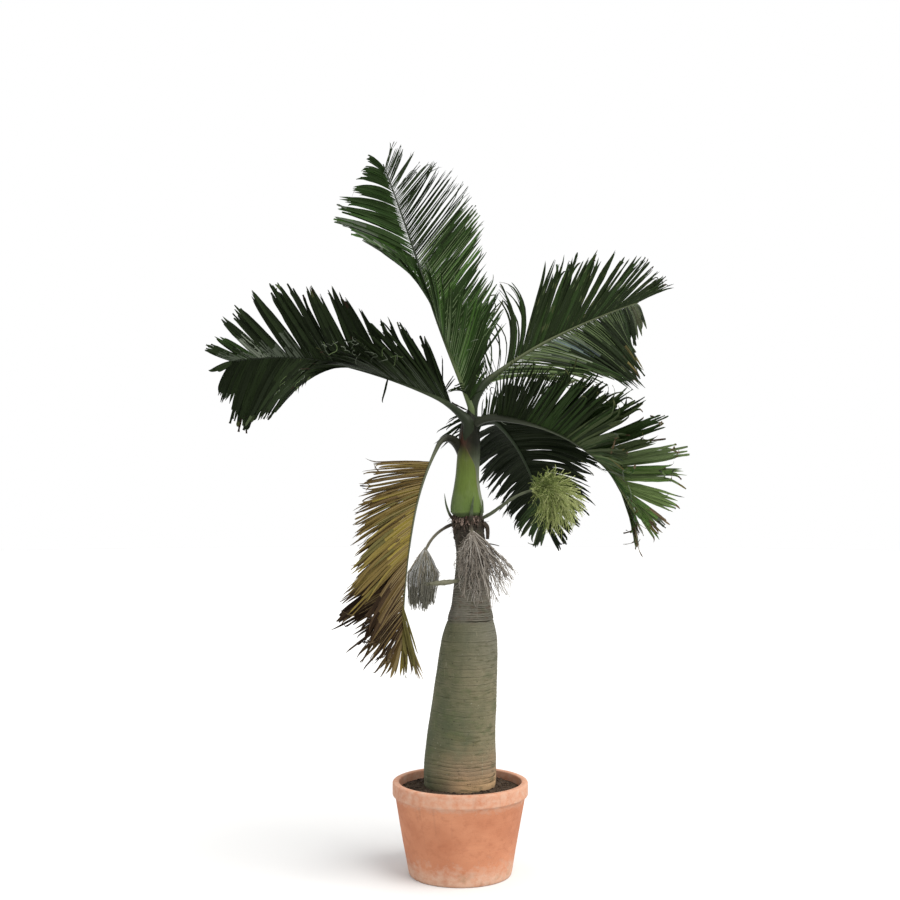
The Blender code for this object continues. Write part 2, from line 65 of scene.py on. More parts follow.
world = bpy.data.worlds.new("world")
world.use_nodes = True
scene.world = world
world.node_tree.nodes["Background"].inputs["Color"].default_value = (1, 1, 1, 1)
world.node_tree.nodes["Background"].inputs["Strength"].default_value = 1.0


# Materials, built from nodes

class Graph:
    """A material with short ways to add nodes and join them."""

    def __init__(self, name):
        self.material = bpy.data.materials.new(name)
        self.material.use_nodes = True
        self.tree = self.material.node_tree
        self.shader = self.tree.nodes["Principled BSDF"]
        self.place = self.node("TexCoord", out="Object")

    def node(self, kind, *values, out=0, **settings):
        node = self.tree.nodes.new("ShaderNode" + kind)
        for key, value in settings.items():
            setattr(node, key, value)
        for index, value in enumerate(values):
            self.feed(node.inputs[index], value)
        return node.outputs[out]

    def feed(self, socket, value):
        if isinstance(value, bpy.types.NodeSocket):
            self.tree.links.new(value, socket)
        elif value is not None:
            if isinstance(value, tuple) and socket.type == "RGBA" and len(value) == 3:
                value = (*value, 1.0)
            socket.default_value = value

    def math(self, operation, *values, clamp=False):
        return self.node("Math", *values, operation=operation, use_clamp=clamp)

    def stretch(self, scale, source=None):
        """The object's coordinates, scaled apart along each axis."""
        return self.node("VectorMath", self.place if source is None else source, scale, operation="MULTIPLY")

    def noise(self, place, scale=1.0, detail=3.0, rough=0.55, warp=0.0):
        return self.node("TexNoise", place, None, scale, detail, rough, None, None, None, warp, out="Fac")

    def between(self, value, low, high, clamp=True):
        """0 below low, 1 above high, straight between. low may be the larger."""
        node = self.tree.nodes.new("ShaderNodeMapRange")
        node.clamp = clamp
        for index, part in enumerate((value, low, high, 0.0, 1.0)):
            self.feed(node.inputs[index], part)
        return node.outputs[0]

    def blend(self, share, first, second, kind="MIX"):
        node = self.tree.nodes.new("ShaderNodeMix")
        node.data_type = "RGBA"
        node.blend_type = kind
        self.feed(node.inputs[0], share)
        self.feed(node.inputs[6], first)
        self.feed(node.inputs[7], second)
        return node.outputs[2]

    def mark(self, name):
        """A number kept at each vertex of the mesh."""
        return self.node("Attribute", out="Fac", attribute_name=name)

    def axis(self, index):
        return self.node("SeparateXYZ", self.place, out=index)

    def bump(self, height, distance, strength=1.0, below=None):
        node = self.tree.nodes.new("ShaderNodeBump")
        node.inputs["Strength"].default_value = strength
        node.inputs["Distance"].default_value = distance
        self.feed(node.inputs["Height"], height)
        if below is not None:
            self.feed(node.inputs["Normal"], below)
        return node.outputs[0]

    def done(self, colour, rough, normal=None, shine=0.5):
        self.feed(self.shader.inputs["Base Color"], colour)
        self.feed(self.shader.inputs["Roughness"], rough)
        self.shader.inputs["Specular IOR Level"].default_value = shine
        if normal is not None:
            self.feed(self.shader.inputs["Normal"], normal)
        return self.material


def floor_material():
    g = Graph("floor_white")
    return g.done((0.68, 0.68, 0.68), 0.9, shine=0.1)


def leaf_material(name, colour):
    """A leaflet's plain colour, with its veins and a slightly uneven gloss."""
    g = Graph(name)
    vein = g.math("SINE", g.math("MULTIPLY", g.mark("across"), 62.0))
    cells = g.noise(g.stretch((260.0, 260.0, 260.0)), detail=2.0)
    gloss = g.math("MULTIPLY_ADD", cells, 0.22, 0.40)
    normal = g.bump(g.math("MULTIPLY_ADD", vein, 0.5, cells), 0.0006, 0.7)
    return g.done(colour, gloss, normal, 0.015 + 1.6 * min(colour[1], 0.1))


# Plain colours of the leaflets
LEAF_COLOURS = {
    "shade_green": (0.0060, 0.0095, 0.0036),
    "black_green": (0.0105, 0.0155, 0.0066),
    "dark_green": (0.0145, 0.0235, 0.0080),
    "deep_green": (0.019, 0.038, 0.009),
    "mid_green": (0.027, 0.060, 0.0125),
    "fresh_green": (0.045, 0.104, 0.0165),
    "bright_green": (0.072, 0.140, 0.028),
    "pale_green": (0.105, 0.150, 0.056),
    "moss_green": (0.050, 0.070, 0.026),
    "lime_green": (0.110, 0.165, 0.050),
    # Pale midrib colour: partly the midrib's own colour, partly a painted highlight along its crest.
    "midrib_highlight_green": (0.165, 0.225, 0.105),
    "umber": (0.088, 0.058, 0.022),
    "olive_green": (0.046, 0.054, 0.018),
    "grey_green": (0.060, 0.074, 0.050),
    "sheen": (0.130, 0.150, 0.110),
    "blue_sheen": (0.090, 0.120, 0.135),
    "ochre": (0.118, 0.082, 0.020),
    "deep_ochre": (0.078, 0.050, 0.014),
    "yellow": (0.205, 0.158, 0.024),
    "gold": (0.158, 0.118, 0.024),
    "olive": (0.098, 0.084, 0.022),
    "brown": (0.044, 0.027, 0.014),
    "dark_brown": (0.020, 0.012, 0.007),
    "straw": (0.190, 0.140, 0.058),
    "dry_tan": (0.240, 0.195, 0.125),
    "dry_brown": (0.115, 0.082, 0.044),
}
LEAF_NAMES = tuple(LEAF_COLOURS)
LEAF = {name: leaf_material("leaf_" + name, colour) for name, colour in LEAF_COLOURS.items()}


def rib_material(name, dark, light, heel, far):
    """A frond's rib: smooth skin with long streaks and a dusting of scurf, its heel and far end apart."""
    g = Graph(name)
    streak = g.noise(g.stretch((60.0, 60.0, 60.0)), detail=4.0, warp=0.6)
    scurf = g.between(g.noise(g.stretch((420.0, 420.0, 420.0)), detail=2.0), 0.60, 0.72)
    colour = g.blend(streak, dark, light)
    # The heel colour where the rib runs into the crown: on most fronds a dark painted shade, on the top frond a lighter
    # green.
    colour = g.blend(g.between(g.math("MULTIPLY_ADD", streak, 0.5, g.mark("heel")), 0.35, 1.15), colour, heel)
    if far:
        colour = g.blend(g.between(g.math("MULTIPLY_ADD", streak, 0.1, g.mark("along")), 0.35, 0.60), colour, far)
    colour = g.blend(g.math("MULTIPLY", scurf, 0.35), colour, tuple(c * 0.45 for c in dark))
    normal = g.bump(streak, 0.0012, 0.6)
    return g.done(colour, 0.48, normal, 0.05 + 1.2 * min(light[1], 0.1))


def bark_material():
    g = Graph("bark")
    x = g.axis(0)
    z = g.axis(2)
    broad = g.noise(g.stretch((5.0, 5.0, 3.2)), detail=4.0)
    patch = g.noise(g.stretch((13.0, 13.0, 20.0)), detail=4.0, rough=0.6)
    fine = g.noise(g.stretch((22.0, 22.0, 330.0)), detail=3.0, rough=0.6)
    grain = g.noise(g.stretch((170.0, 170.0, 260.0)), detail=3.0)
    side = g.between(x, -0.16, 0.19)
    # From the trunk's left (-x) to its right (+x) the bark goes from dark green to lighter tan: partly its own colour,
    # with green algae on the left, and partly painted shade on the left and painted light on the right.
    tan = g.math("ADD", g.math("MULTIPLY", side, 0.75), g.between(broad, 0.30, 0.72))
    colour = g.blend(g.between(tan, 0.35, 1.35), (0.060, 0.069, 0.036), (0.150, 0.132, 0.078))
    green = g.math("MULTIPLY", g.between(patch, 0.50, 0.66), g.between(z, 1.32, 1.0))
    colour = g.blend(g.math("MULTIPLY", green, 0.6), colour, (0.064, 0.078, 0.032))
    ash = g.math("MULTIPLY", g.between(z, 0.98, 1.30), g.between(side, 0.35, 1.0))
    colour = g.blend(g.math("MULTIPLY", ash, 0.75), colour, (0.132, 0.126, 0.098))
    low = g.math("ADD", g.between(z, 0.80, 0.55), g.math("MULTIPLY_ADD", patch, 1.1, -0.55))
    pink = g.math("MULTIPLY", g.between(low, 0.25, 0.9), g.between(side, 0.0, 0.45))
    colour = g.blend(g.math("MULTIPLY", pink, 0.85), colour, (0.225, 0.155, 0.095))
    foot = g.math("ADD", g.between(z, 0.62, 0.50), g.math("MULTIPLY_ADD", broad, 1.4, -0.80))
    foot = g.math("MULTIPLY", g.between(foot, 0.20, 0.8), g.between(side, 0.25, 0.55))
    colour = g.blend(g.math("MULTIPLY", foot, 0.8), colour, (0.400, 0.260, 0.135))
    neck = g.between(z, 1.355, 1.385)
    upper = g.blend(g.between(tan, 0.6, 1.5), (0.076, 0.073, 0.055), (0.185, 0.170, 0.136))
    colour = g.blend(neck, colour, upper)
    red = g.math("MULTIPLY", neck, g.between(g.noise(g.stretch((26.0, 26.0, 70.0)), detail=3.0), 0.55, 0.66))
    colour = g.blend(g.math("MULTIPLY", red, 0.55), colour, (0.090, 0.046, 0.030))
    top = g.between(g.math("MULTIPLY_ADD", patch, 0.10, z), 1.74, 1.84)
    colour = g.blend(g.math("MULTIPLY", top, 0.9), colour, (0.024, 0.018, 0.013))
    shade = g.math("ADD", g.math("MULTIPLY_ADD", fine, 0.55, 0.50), g.math("MULTIPLY_ADD", grain, 0.5, 0.0))
    colour = g.blend(1.0, colour, g.node("CombineColor", shade, shade, shade), "MULTIPLY")
    streak = g.between(g.noise(g.stretch((85.0, 85.0, 4.0)), detail=1.0), 0.70, 0.76)
    colour = g.blend(g.math("MULTIPLY", streak, 0.35), colour, (0.26, 0.24, 0.16))
    moss = g.math("MULTIPLY", g.between(g.noise(g.stretch((9.0, 9.0, 40.0)), detail=4.0), 0.58, 0.70), 0.6)
    colour = g.blend(moss, colour, (0.052, 0.056, 0.024))
    speck = g.between(g.noise(g.stretch((48.0, 48.0, 80.0)), detail=2.0), 0.68, 0.73)
    colour = g.blend(g.math("MULTIPLY", speck, 0.85), colour, (0.028, 0.024, 0.016))
    smudge = g.between(g.noise(g.stretch((14.0, 14.0, 60.0)), detail=4.0), 0.58, 0.66)
    smudge = g.math("MULTIPLY", smudge, g.math("MULTIPLY", g.between(side, 0.45, 0.75), g.between(z, 1.32, 1.20)))
    colour = g.blend(g.math("MULTIPLY", smudge, 0.6), colour, (0.050, 0.046, 0.018))
    lichen = g.between(g.noise(g.stretch((95.0, 95.0, 95.0)), detail=1.0), 0.74, 0.80)
    colour = g.blend(g.math("MULTIPLY", lichen, 0.5), colour, (0.33, 0.33, 0.26))
    scar = g.mark("scar")
    colour = g.blend(g.math("MULTIPLY", scar, 0.80, clamp=True), colour, (0.026, 0.023, 0.014))
    # Negative scar values: a pale painted highlight along the lip above each ring.
    colour = g.blend(g.math("MULTIPLY", scar, -0.60, clamp=True), colour, (0.300, 0.275, 0.200))
    height = g.math("ADD", g.math("MULTIPLY", fine, 0.7), grain)
    normal = g.bump(height, 0.0022, 0.8)
    return g.done(colour, 0.86, normal, 0.25)


def sheath_material():
    g = Graph("sheath")
    z = g.axis(2)
    outer = g.mark("outer")
    edge = g.mark("edge")
    side = g.mark("side")
    thread = g.noise(g.stretch((230.0, 230.0, 6.0)), detail=3.0)
    cloud = g.noise(g.stretch((17.0, 17.0, 9.0)), detail=4.0)
    # Painted light and shade on the outer sheath: dark green on the shaft's left side, bright yellow-green on its front
    # and right.
    lit = g.blend(g.between(side, -1.0, -0.1), (0.034, 0.052, 0.013), (0.098, 0.140, 0.028))
    lit = g.blend(g.math("MULTIPLY", g.between(z, 2.10, 1.99), 0.5), lit, (0.088, 0.140, 0.042))
    lit = g.blend(g.math("MULTIPLY", g.between(z, 2.16, 2.30), 0.85), lit, (0.068, 0.078, 0.015))
    # The inner sheath: pale grey-green low down, partly its own waxy grey and partly a painted sheen, going dark
    # upwards with painted shade under the crown.
    grey = g.blend(g.between(z, 2.28, 2.06), (0.036, 0.046, 0.024), (0.190, 0.212, 0.150))
    colour = g.blend(outer, grey, lit)
    bloom = g.math("MULTIPLY", g.between(cloud, 0.5, 0.75), 0.22)
    colour = g.blend(bloom, colour, (0.18, 0.21, 0.13))
    rim = g.between(g.math("MULTIPLY_ADD", cloud, 0.02, z), 1.977, 1.962)
    colour = g.blend(g.math("MULTIPLY", rim, 0.85), colour, (0.040, 0.058, 0.022))
    # Painted shade: the top of the shaft goes near black under the crown.
    dark = g.between(g.math("MULTIPLY_ADD", cloud, 0.10, z), 2.300, 2.395)
    colour = g.blend(dark, colour, (0.007, 0.008, 0.004))
    red = g.math("MULTIPLY", g.mark("flush"), g.between(cloud, 0.30, 0.55))
    colour = g.blend(g.math("MULTIPLY", red, 0.85), colour, (0.052, 0.021, 0.013))
    colour = g.blend(g.math("MULTIPLY", edge, 0.9), colour, (0.130, 0.088, 0.045))
    fleck = g.between(g.noise(g.stretch((130.0, 130.0, 60.0)), detail=2.0), 0.68, 0.74)
    colour = g.blend(g.math("MULTIPLY", fleck, 0.5), colour, (0.060, 0.045, 0.022))
    shade = g.math("MULTIPLY_ADD", thread, 0.45, 0.78)
    colour = g.blend(1.0, colour, g.node("CombineColor", shade, shade, shade), "MULTIPLY")
    normal = g.bump(thread, 0.0012, 0.6)
    rough = g.math("MULTIPLY_ADD", cloud, 0.25, 0.36)
    return g.done(colour, rough, normal, 0.12)


def stalk_material(name, dark, light, scale=90.0, burnt=None):
    g = Graph(name)
    grain = g.noise(g.stretch((scale, scale, scale)), detail=4.0, warp=0.8)
    blotch = g.between(g.noise(g.stretch((28.0, 28.0, 28.0)), detail=3.0), 0.45, 0.65)
    colour = g.blend(grain, dark, light)
    colour = g.blend(g.math("MULTIPLY", blotch, 0.45), colour, tuple(c * 0.6 for c in dark))
    if burnt:
        low = g.between(g.math("MULTIPLY_ADD", grain, 0.012, g.axis(2)), *burnt)
        colour = g.blend(g.math("MULTIPLY", low, 0.92), colour, (0.030, 0.021, 0.014))
    normal = g.bump(grain, 0.0015, 0.7)
    return g.done(colour, 0.68, normal, 0.3)


def soil_material():
    g = Graph("soil")
    crumb = g.noise(g.stretch((90.0, 90.0, 90.0)), detail=5.0, rough=0.65)
    grit = g.noise(g.stretch((520.0, 520.0, 520.0)), detail=2.0)
    damp = g.noise(g.stretch((7.0, 7.0, 7.0)), detail=2.0)
    colour = g.blend(g.between(crumb, 0.3, 0.7), (0.024, 0.016, 0.011), (0.085, 0.058, 0.038))
    colour = g.blend(g.math("MULTIPLY", g.between(damp, 0.45, 0.65), 0.45), colour, (0.028, 0.020, 0.015))
    colour = g.blend(g.math("MULTIPLY", g.between(grit, 0.66, 0.72), 0.6), colour, (0.24, 0.20, 0.16))
    normal = g.bump(g.math("MULTIPLY_ADD", grit, 0.4, crumb), 0.004, 0.9)
    return g.done(colour, 0.95, normal, 0.15)


def pot_material():
    g = Graph("terracotta")
    z = g.axis(2)
    fire = g.noise(g.stretch((3.5, 3.5, 5.0)), detail=3.0)
    mottle = g.noise(g.stretch((28.0, 28.0, 34.0)), detail=5.0, rough=0.6)
    grain = g.noise(g.stretch((430.0, 430.0, 430.0)), detail=2.0)
    turn = g.noise(g.stretch((1.3, 1.3, 150.0)), detail=3.0)
    colour = g.blend(g.between(fire, 0.32, 0.68), (0.400, 0.150, 0.076), (0.520, 0.225, 0.122))
    colour = g.blend(g.math("MULTIPLY", g.between(mottle, 0.50, 0.72), 0.5), colour, (0.330, 0.120, 0.062))
    low = g.math("ADD", g.between(z, 0.20, 0.015), g.math("MULTIPLY_ADD", mottle, 1.6, -1.05))
    band = g.math("ADD", g.between(z, 0.355, 0.425), g.math("MULTIPLY_ADD", mottle, 1.8, -1.35))
    lip = g.math("ADD", g.between(z, 0.475, 0.50), g.math("MULTIPLY_ADD", mottle, 1.6, -1.25))
    salt = g.math("MAXIMUM", g.between(low, 0.15, 0.8), g.between(band, 0.15, 0.9))
    salt = g.math("MAXIMUM", salt, g.math("MULTIPLY", g.between(lip, 0.1, 0.8), 0.6))
    colour = g.blend(g.math("MULTIPLY", salt, 0.62), colour, (0.610, 0.440, 0.335))
    drip = g.between(g.noise(g.stretch((26.0, 26.0, 1.6)), detail=3.0), 0.60, 0.72)
    drip = g.math("MULTIPLY", drip, g.between(z, 0.05, 0.42))
    colour = g.blend(g.math("MULTIPLY", drip, 0.22), colour, (0.200, 0.100, 0.066))
    green = g.math("MULTIPLY", g.between(g.noise(g.stretch((11.0, 11.0, 11.0)), detail=4.0), 0.58, 0.72),
                   g.between(z, 0.13, 0.0))
    colour = g.blend(g.math("MULTIPLY", green, 0.55), colour, (0.110, 0.115, 0.055))
    shade = g.math("MULTIPLY_ADD", grain, 0.30, 0.85)
    colour = g.blend(1.0, colour, g.node("CombineColor", shade, shade, shade), "MULTIPLY")
    pore = g.between(g.noise(g.stretch((240.0, 240.0, 240.0)), detail=1.0), 0.70, 0.78)
    height = g.math("SUBTRACT", g.math("MULTIPLY_ADD", turn, 0.8, g.math("MULTIPLY", grain, 0.25)), pore)
    normal = g.bump(height, 0.0018, 0.7)
    rough = g.math("MULTIPLY_ADD", mottle, 0.2, 0.74)
    return g.done(colour, rough, normal, 0.3)


# Smooth noise and curves

def value_noise(points, seed=0):
    """Smooth noise from -1 to 1, one lump to a unit."""
    points = np.asarray(points, float)
    cell = np.floor(points).astype(np.int64)
    part = points - cell
    part = part * part * (3 - 2 * part)
    total = 0.0
    for corner in np.ndindex(2, 2, 2):
        at_corner = cell + corner
        key = at_corner[..., 0] * 73856093 ^ at_corner[..., 1] * 19349663 ^ at_corner[..., 2] * 83492791
        key = (key + seed * 7919) & 0x7FFFFFFF
        key = (key ^ (key >> 13)) * 1274126177 & 0x7FFFFFFF
        key = (key ^ (key >> 11)) * 668265263 & 0x7FFFFFFF
        weight = np.prod(np.where(corner, part, 1 - part), axis=-1)
        total = total + weight * ((key >> 7 & 0xFFFF) / 32768.0 - 1.0)
    return total


def ease(x, xs, ys):
    """A smooth curve through the given points."""
    xs = np.asarray(xs, float)
    ys = np.asarray(ys, float)
    slopes = np.gradient(ys, xs)
    i = np.clip(np.searchsorted(xs, x) - 1, 0, len(xs) - 2)
    gap = xs[i + 1] - xs[i]
    t = np.clip((x - xs[i]) / gap, 0, 1)
    return (ys[i] * (1 + 2 * t) * (1 - t) ** 2 + ys[i + 1] * t * t * (3 - 2 * t)
            + gap * (slopes[i] * t * (1 - t) ** 2 - slopes[i + 1] * t * t * (1 - t)))


def unit(vectors):
    return vectors / np.maximum(np.linalg.norm(vectors, axis=-1, keepdims=True), 1e-12)


def smooth_path(points, count):
    """count points along a smooth curve through the given ones."""
    points = np.asarray(points, float)
    steps = np.linalg.norm(np.diff(points, axis=0), axis=1)
    far = np.concatenate([[0], np.cumsum(steps)])
    where = np.linspace(0, far[-1], count)
    return np.stack([ease(where, far, points[:, k]) for k in range(3)], -1)


# Meshes made from arrays

class Bunch:
    """Gathers shapes as arrays, then makes one mesh of them."""

    def __init__(self):
        self.points = []
        self.faces = []
        self.stuff = []
        self.marks = {}
        self.count = 0

    def add(self, points, faces, stuff=0, **marks):
        """points is (n, 3), faces (m, corners), stuff a material's index for all or for each face."""
        points = np.asarray(points, float).reshape(-1, 3)
        faces = np.asarray(faces, np.int64)
        self.points.append(points)
        self.faces.append(faces + self.count)
        self.stuff.append(np.broadcast_to(np.asarray(stuff), (len(faces),)))
        for name, values in marks.items():
            self.marks.setdefault(name, []).append((self.count, np.asarray(values, float).reshape(-1)))
        self.count += len(points)

    def build(self, name, materials, smooth=True, creases=None):
        mesh = bpy.data.meshes.new(name)
        points = np.concatenate(self.points)
        sizes = np.concatenate([np.full(len(faces), faces.shape[1]) for faces in self.faces])
        corners = np.concatenate([faces.reshape(-1) for faces in self.faces])
        mesh.vertices.add(len(points))
        mesh.vertices.foreach_set("co", points.astype(np.float32).reshape(-1))
        mesh.loops.add(len(corners))
        mesh.loops.foreach_set("vertex_index", corners.astype(np.int32))
        mesh.polygons.add(len(sizes))
        starts = np.concatenate([[0], np.cumsum(sizes)[:-1]])
        mesh.polygons.foreach_set("loop_start", starts.astype(np.int32))
        mesh.polygons.foreach_set("material_index", np.concatenate(self.stuff).astype(np.int32))
        mesh.polygons.foreach_set("use_smooth", np.full(len(sizes), smooth))
        mesh.update(calc_edges=True)
        for key, parts in self.marks.items():
            values = np.zeros(len(points), np.float32)
            for start, part in parts:
                values[start:start + len(part)] = part
            mesh.attributes.new(key, "FLOAT", "POINT").data.foreach_set("value", values)
        if creases:
            ends = np.zeros(len(mesh.edges) * 2, np.int32)
            mesh.edges.foreach_get("vertices", ends)
            ends = ends.reshape(-1, 2)
            sharp = np.abs(ends[:, 0] - ends[:, 1]) == creases
            mesh.attributes.new("sharp_edge", "BOOLEAN", "EDGE").data.foreach_set("value", sharp)
        mesh.validate()
        for material in materials:
            mesh.materials.append(material)
        obj = bpy.data.objects.new(name, mesh)
        scene.collection.objects.link(obj)
        return obj


def put(obj, slot, *nodes):
    """Hands a piece to the frame: it rides on the body and stands for its nodes, which it hides. slot is not used."""
    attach(obj, "root")
    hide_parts(*nodes)
    return obj


def grid_faces(rows, columns, around=True):
    """Quads between rows of points, each row closed on itself if around."""
    i = np.arange(rows - 1)[:, None]
    j = np.arange(columns if around else columns - 1)[None, :]
    k = (j + 1) % columns
    quads = np.stack(np.broadcast_arrays(i * columns + j, i * columns + k,
                                         (i + 1) * columns + k, (i + 1) * columns + j), -1)
    return quads.reshape(-1, 4)


def add_tubes(bunch, paths, radii, sides, stuff=0, across=None, flat=1.0, **marks):
    """Closed tubes along paths (n, k, 3) with radii (n, k). across fixes where each ring starts."""
    paths = np.asarray(paths, float)
    count, steps = paths.shape[:2]
    radii = np.broadcast_to(np.asarray(radii, float), (count, steps))
    tangents = unit(np.gradient(paths, axis=1))
    if across is None:
        chord = unit(paths[:, -1] - paths[:, 0])
        helper = np.where(np.abs(chord[:, 2:3]) > 0.8, (1.0, 0.0, 0.0), (0.0, 0.0, 1.0))
        across = np.broadcast_to(np.cross(chord, helper)[:, None], paths.shape)
    across = unit(across - tangents * (across * tangents).sum(-1, keepdims=True))
    up = np.cross(tangents, across)
    angles = np.arange(sides) * 2 * np.pi / sides
    ring = (np.cos(angles)[:, None] * across[:, :, None] + flat * np.sin(angles)[:, None] * up[:, :, None])
    points = paths[:, :, None] + radii[:, :, None, None] * ring
    per = steps * sides
    base = (np.arange(count) * per)[:, None, None]
    quads = (grid_faces(steps, sides)[None] + base).reshape(-1, 4)
    if not np.isscalar(stuff):
        stuff_quads = np.repeat(np.asarray(stuff), (steps - 1) * sides)
        stuff_caps = np.repeat(np.asarray(stuff), 1)
    else:
        stuff_quads = stuff_caps = stuff
    start = bunch.count
    bunch.add(points, quads, stuff_quads, **marks)
    low = np.arange(sides)[::-1][None] + base[:, 0]
    high = (np.arange(sides) + (steps - 1) * sides)[None] + base[:, 0]
    for caps in (low, high):
        bunch.faces.append(caps + start)
        bunch.stuff.append(np.broadcast_to(np.asarray(stuff_caps), (count,)))


# The stem's middle line and outline, as in the part

STEM_HEIGHTS = (0.475, 0.62, 0.78, 0.93, 1.15, 1.40, 1.70, 2.00, 2.30, 2.56)
STEM_LEANS = (-0.002, 0.000, 0.009, 0.024, 0.041, 0.059, 0.063, 0.039, 0.048, 0.058)
SOIL_TOP = 0.475
SOIL_EDGE = 0.455
TRUNK_TOP = 1.938
TRUNK_PROFILE = (
    (0.4753, 0.194), (0.53, 0.197), (0.61, 0.196), (0.72, 0.189), (0.85, 0.181), (0.98, 0.173),
    (1.10, 0.165), (1.22, 0.157), (1.29, 0.148), (1.345, 0.134), (1.366, 0.127), (1.39, 0.124),
    (1.45, 0.110), (1.53, 0.101), (1.64, 0.090), (1.75, 0.081), (1.83, 0.083), (1.87, 0.076),
    (TRUNK_TOP, 0.074),
)
SHAFT_PROFILE = (
    (TRUNK_TOP + 0.0003, 0.076), (1.955, 0.087), (1.98, 0.0905), (2.02, 0.086), (2.085, 0.074),
    (2.16, 0.0645), (2.24, 0.0625), (2.32, 0.061), (2.40, 0.058), (2.46, 0.053), (2.51, 0.045),
    (2.555, 0.034),
)


def stem_x(z):
    return ease(z, STEM_HEIGHTS, STEM_LEANS)


def stem_grid(heights, radii, angles):
    """Points round the stem. heights and radii are (rows, sides)."""
    x = stem_x(heights) + radii * np.cos(angles)
    return np.stack([x, radii * np.sin(angles), heights], -1)


def closed_stem(name, points, materials, **marks):
    """A mesh through rows of rings, closed at both ends."""
    rows, sides = points.shape[:2]
    bunch = Bunch()
    bunch.add(points, grid_faces(rows, sides), **marks)
    bunch.faces.append(np.arange(sides)[::-1][None])
    bunch.stuff.append(np.zeros(1, int))
    bunch.faces.append((np.arange(sides) + (rows - 1) * sides)[None])
    bunch.stuff.append(np.zeros(1, int))
    return bunch.build(name, materials)


# Trunk: every leaf scar is a groove with a lip, wandering round the stem

TRUNK_SIDES = 176
NECK = 1.372


def make_trunk():
    rng = np.random.default_rng(11)
    angles = np.arange(TRUNK_SIDES) * 2 * np.pi / TRUNK_SIDES
    scars = []
    z = 0.492
    number = 0
    while z < TRUNK_TOP - 0.02:
        gap = np.interp(z, (0.5, 0.9, 1.25, 1.36, 1.5, 1.9), (0.022, 0.021, 0.016, 0.011, 0.0125, 0.011))
        z += gap * rng.uniform(0.75, 1.3)
        if abs(z - NECK) < 0.009:
            continue
        strong = number % 4 == 0 or rng.random() < 0.12
        depth = rng.uniform(0.0012, 0.0021) if strong else rng.uniform(0.0003, 0.0009)
        ink = rng.uniform(0.25, 0.65) if strong else rng.uniform(0.0, 0.22)
        if z > NECK:
            depth = rng.uniform(0.0012, 0.0026)
            ink = rng.uniform(0.55, 1.0)
        scars.append((z, depth, ink, rng.uniform(0.0, 0.6) ** 2 if rng.random() < 0.7 else 0.55))
        number += 1
    scars.append((NECK, 0.0050, 1.15, 0.3))
    scars.sort()
    rows = [(0.462, 0.0, 0.0), (0.480, 0.0, 0.0)]
    ends = [scar[0] for scar in scars] + [TRUNK_TOP - 0.004]
    for (z, depth, ink, pale), after in zip(scars, ends[1:]):
        half = 0.0042 if z == NECK else min(0.0022 if z < NECK else 0.0034, 0.25 * (after - z))
        rows += [(z - half, 0.10, 0.0), (z - half * 0.35, -depth, ink), (z + half * 0.5, -depth * 0.8, ink)]
        # The shoulder above each groove takes the negative of pale: a painted highlight along the lip of the scar.
        rows += [(z + half, 0.25, 0.0), (z + half * 1.9, 0.5, -pale), (z + half * 2.8, 0.6, 0.0)]
        rows.append((0.55 * after + 0.45 * z, 0.8, 0.0))
    rows.append((TRUNK_TOP, 0.0, 0.0))
    rows = [row for i, row in enumerate(rows) if i == 0 or row[0] > rows[i - 1][0] + 0.0004]
    level = np.array([row[0] for row in rows])[:, None]
    relief = np.array([row[1] for row in rows])[:, None]
    ink = np.array([row[2] for row in rows])[:, None]
    round_x = np.cos(angles)[None, :] + 0 * level
    round_y = np.sin(angles)[None, :] + 0 * level

    def lumps(across, up, seed):
        return value_noise(np.stack([round_x * across + 40, round_y * across + 40, level * up + 40 + 0 * round_x], -1),
                           seed)

    settle = np.clip((level - 0.475) / 0.05, 0, 1) * np.clip((TRUNK_TOP - 0.01 - level) / 0.03, 0, 1)
    tilt = -0.018 * round_x * np.exp(-((level - 0.80) / 0.20) ** 2)
    wander = (tilt + 0.0065 * lumps(1.1, 3.0, 1) + 0.0026 * lumps(5.0, 9.0, 2)) * settle
    heights = level + wander
    fade = np.clip(0.75 + 0.9 * lumps(2.5, 26.0, 3), 0.15, 1.25)
    radius = ease(np.clip(heights, 0.4753, TRUNK_TOP), *zip(*TRUNK_PROFILE))
    groove = np.where(relief < 0, relief * fade, relief * 0.0009)
    swell = 0.0022 * lumps(1.6, 5.0, 4) + 0.0008 * lumps(7.0, 22.0, 5) + 0.0004 * lumps(22.0, 120.0, 6)
    radius = radius + (groove + swell) * settle - 0.002 * np.clip((0.475 - level) / 0.01, 0, 1)
    dents = np.clip(lumps(4.0, 14.0, 7) - 0.62, 0, 1) * 0.012 * settle
    radius = radius - dents
    broken = np.clip(0.55 + 1.5 * lumps(5.5, 60.0, 8), 0, 1.1)
    broken = np.where(ink > 1, 1.0, broken)
    # The scar mark: positive where the rings' dark ink lies, negative where the lips get a painted highlight.
    dark = np.clip(ink * np.clip(fade, 0.3, 1.2) * broken, -1, 1.1)
    points = stem_grid(heights, radius, angles[None, :])
    trunk = closed_stem("trunk_bark", points, [bark_material()], scar=dark)
    return put(trunk, "bark", "trunk")


# Crownshaft: the outer sheath wraps the front, its dry margin stepping down to the next one

SHAFT_SIDES = 168
SHAFT_ROWS = 170
SHEATH_MIDDLE = -45.0
SHEATH_HALF = ((1.94, 114), (2.033, 102), (2.127, 92), (2.205, 84), (2.28, 46), (2.36, 12), (2.40, 4), (2.56, 0))


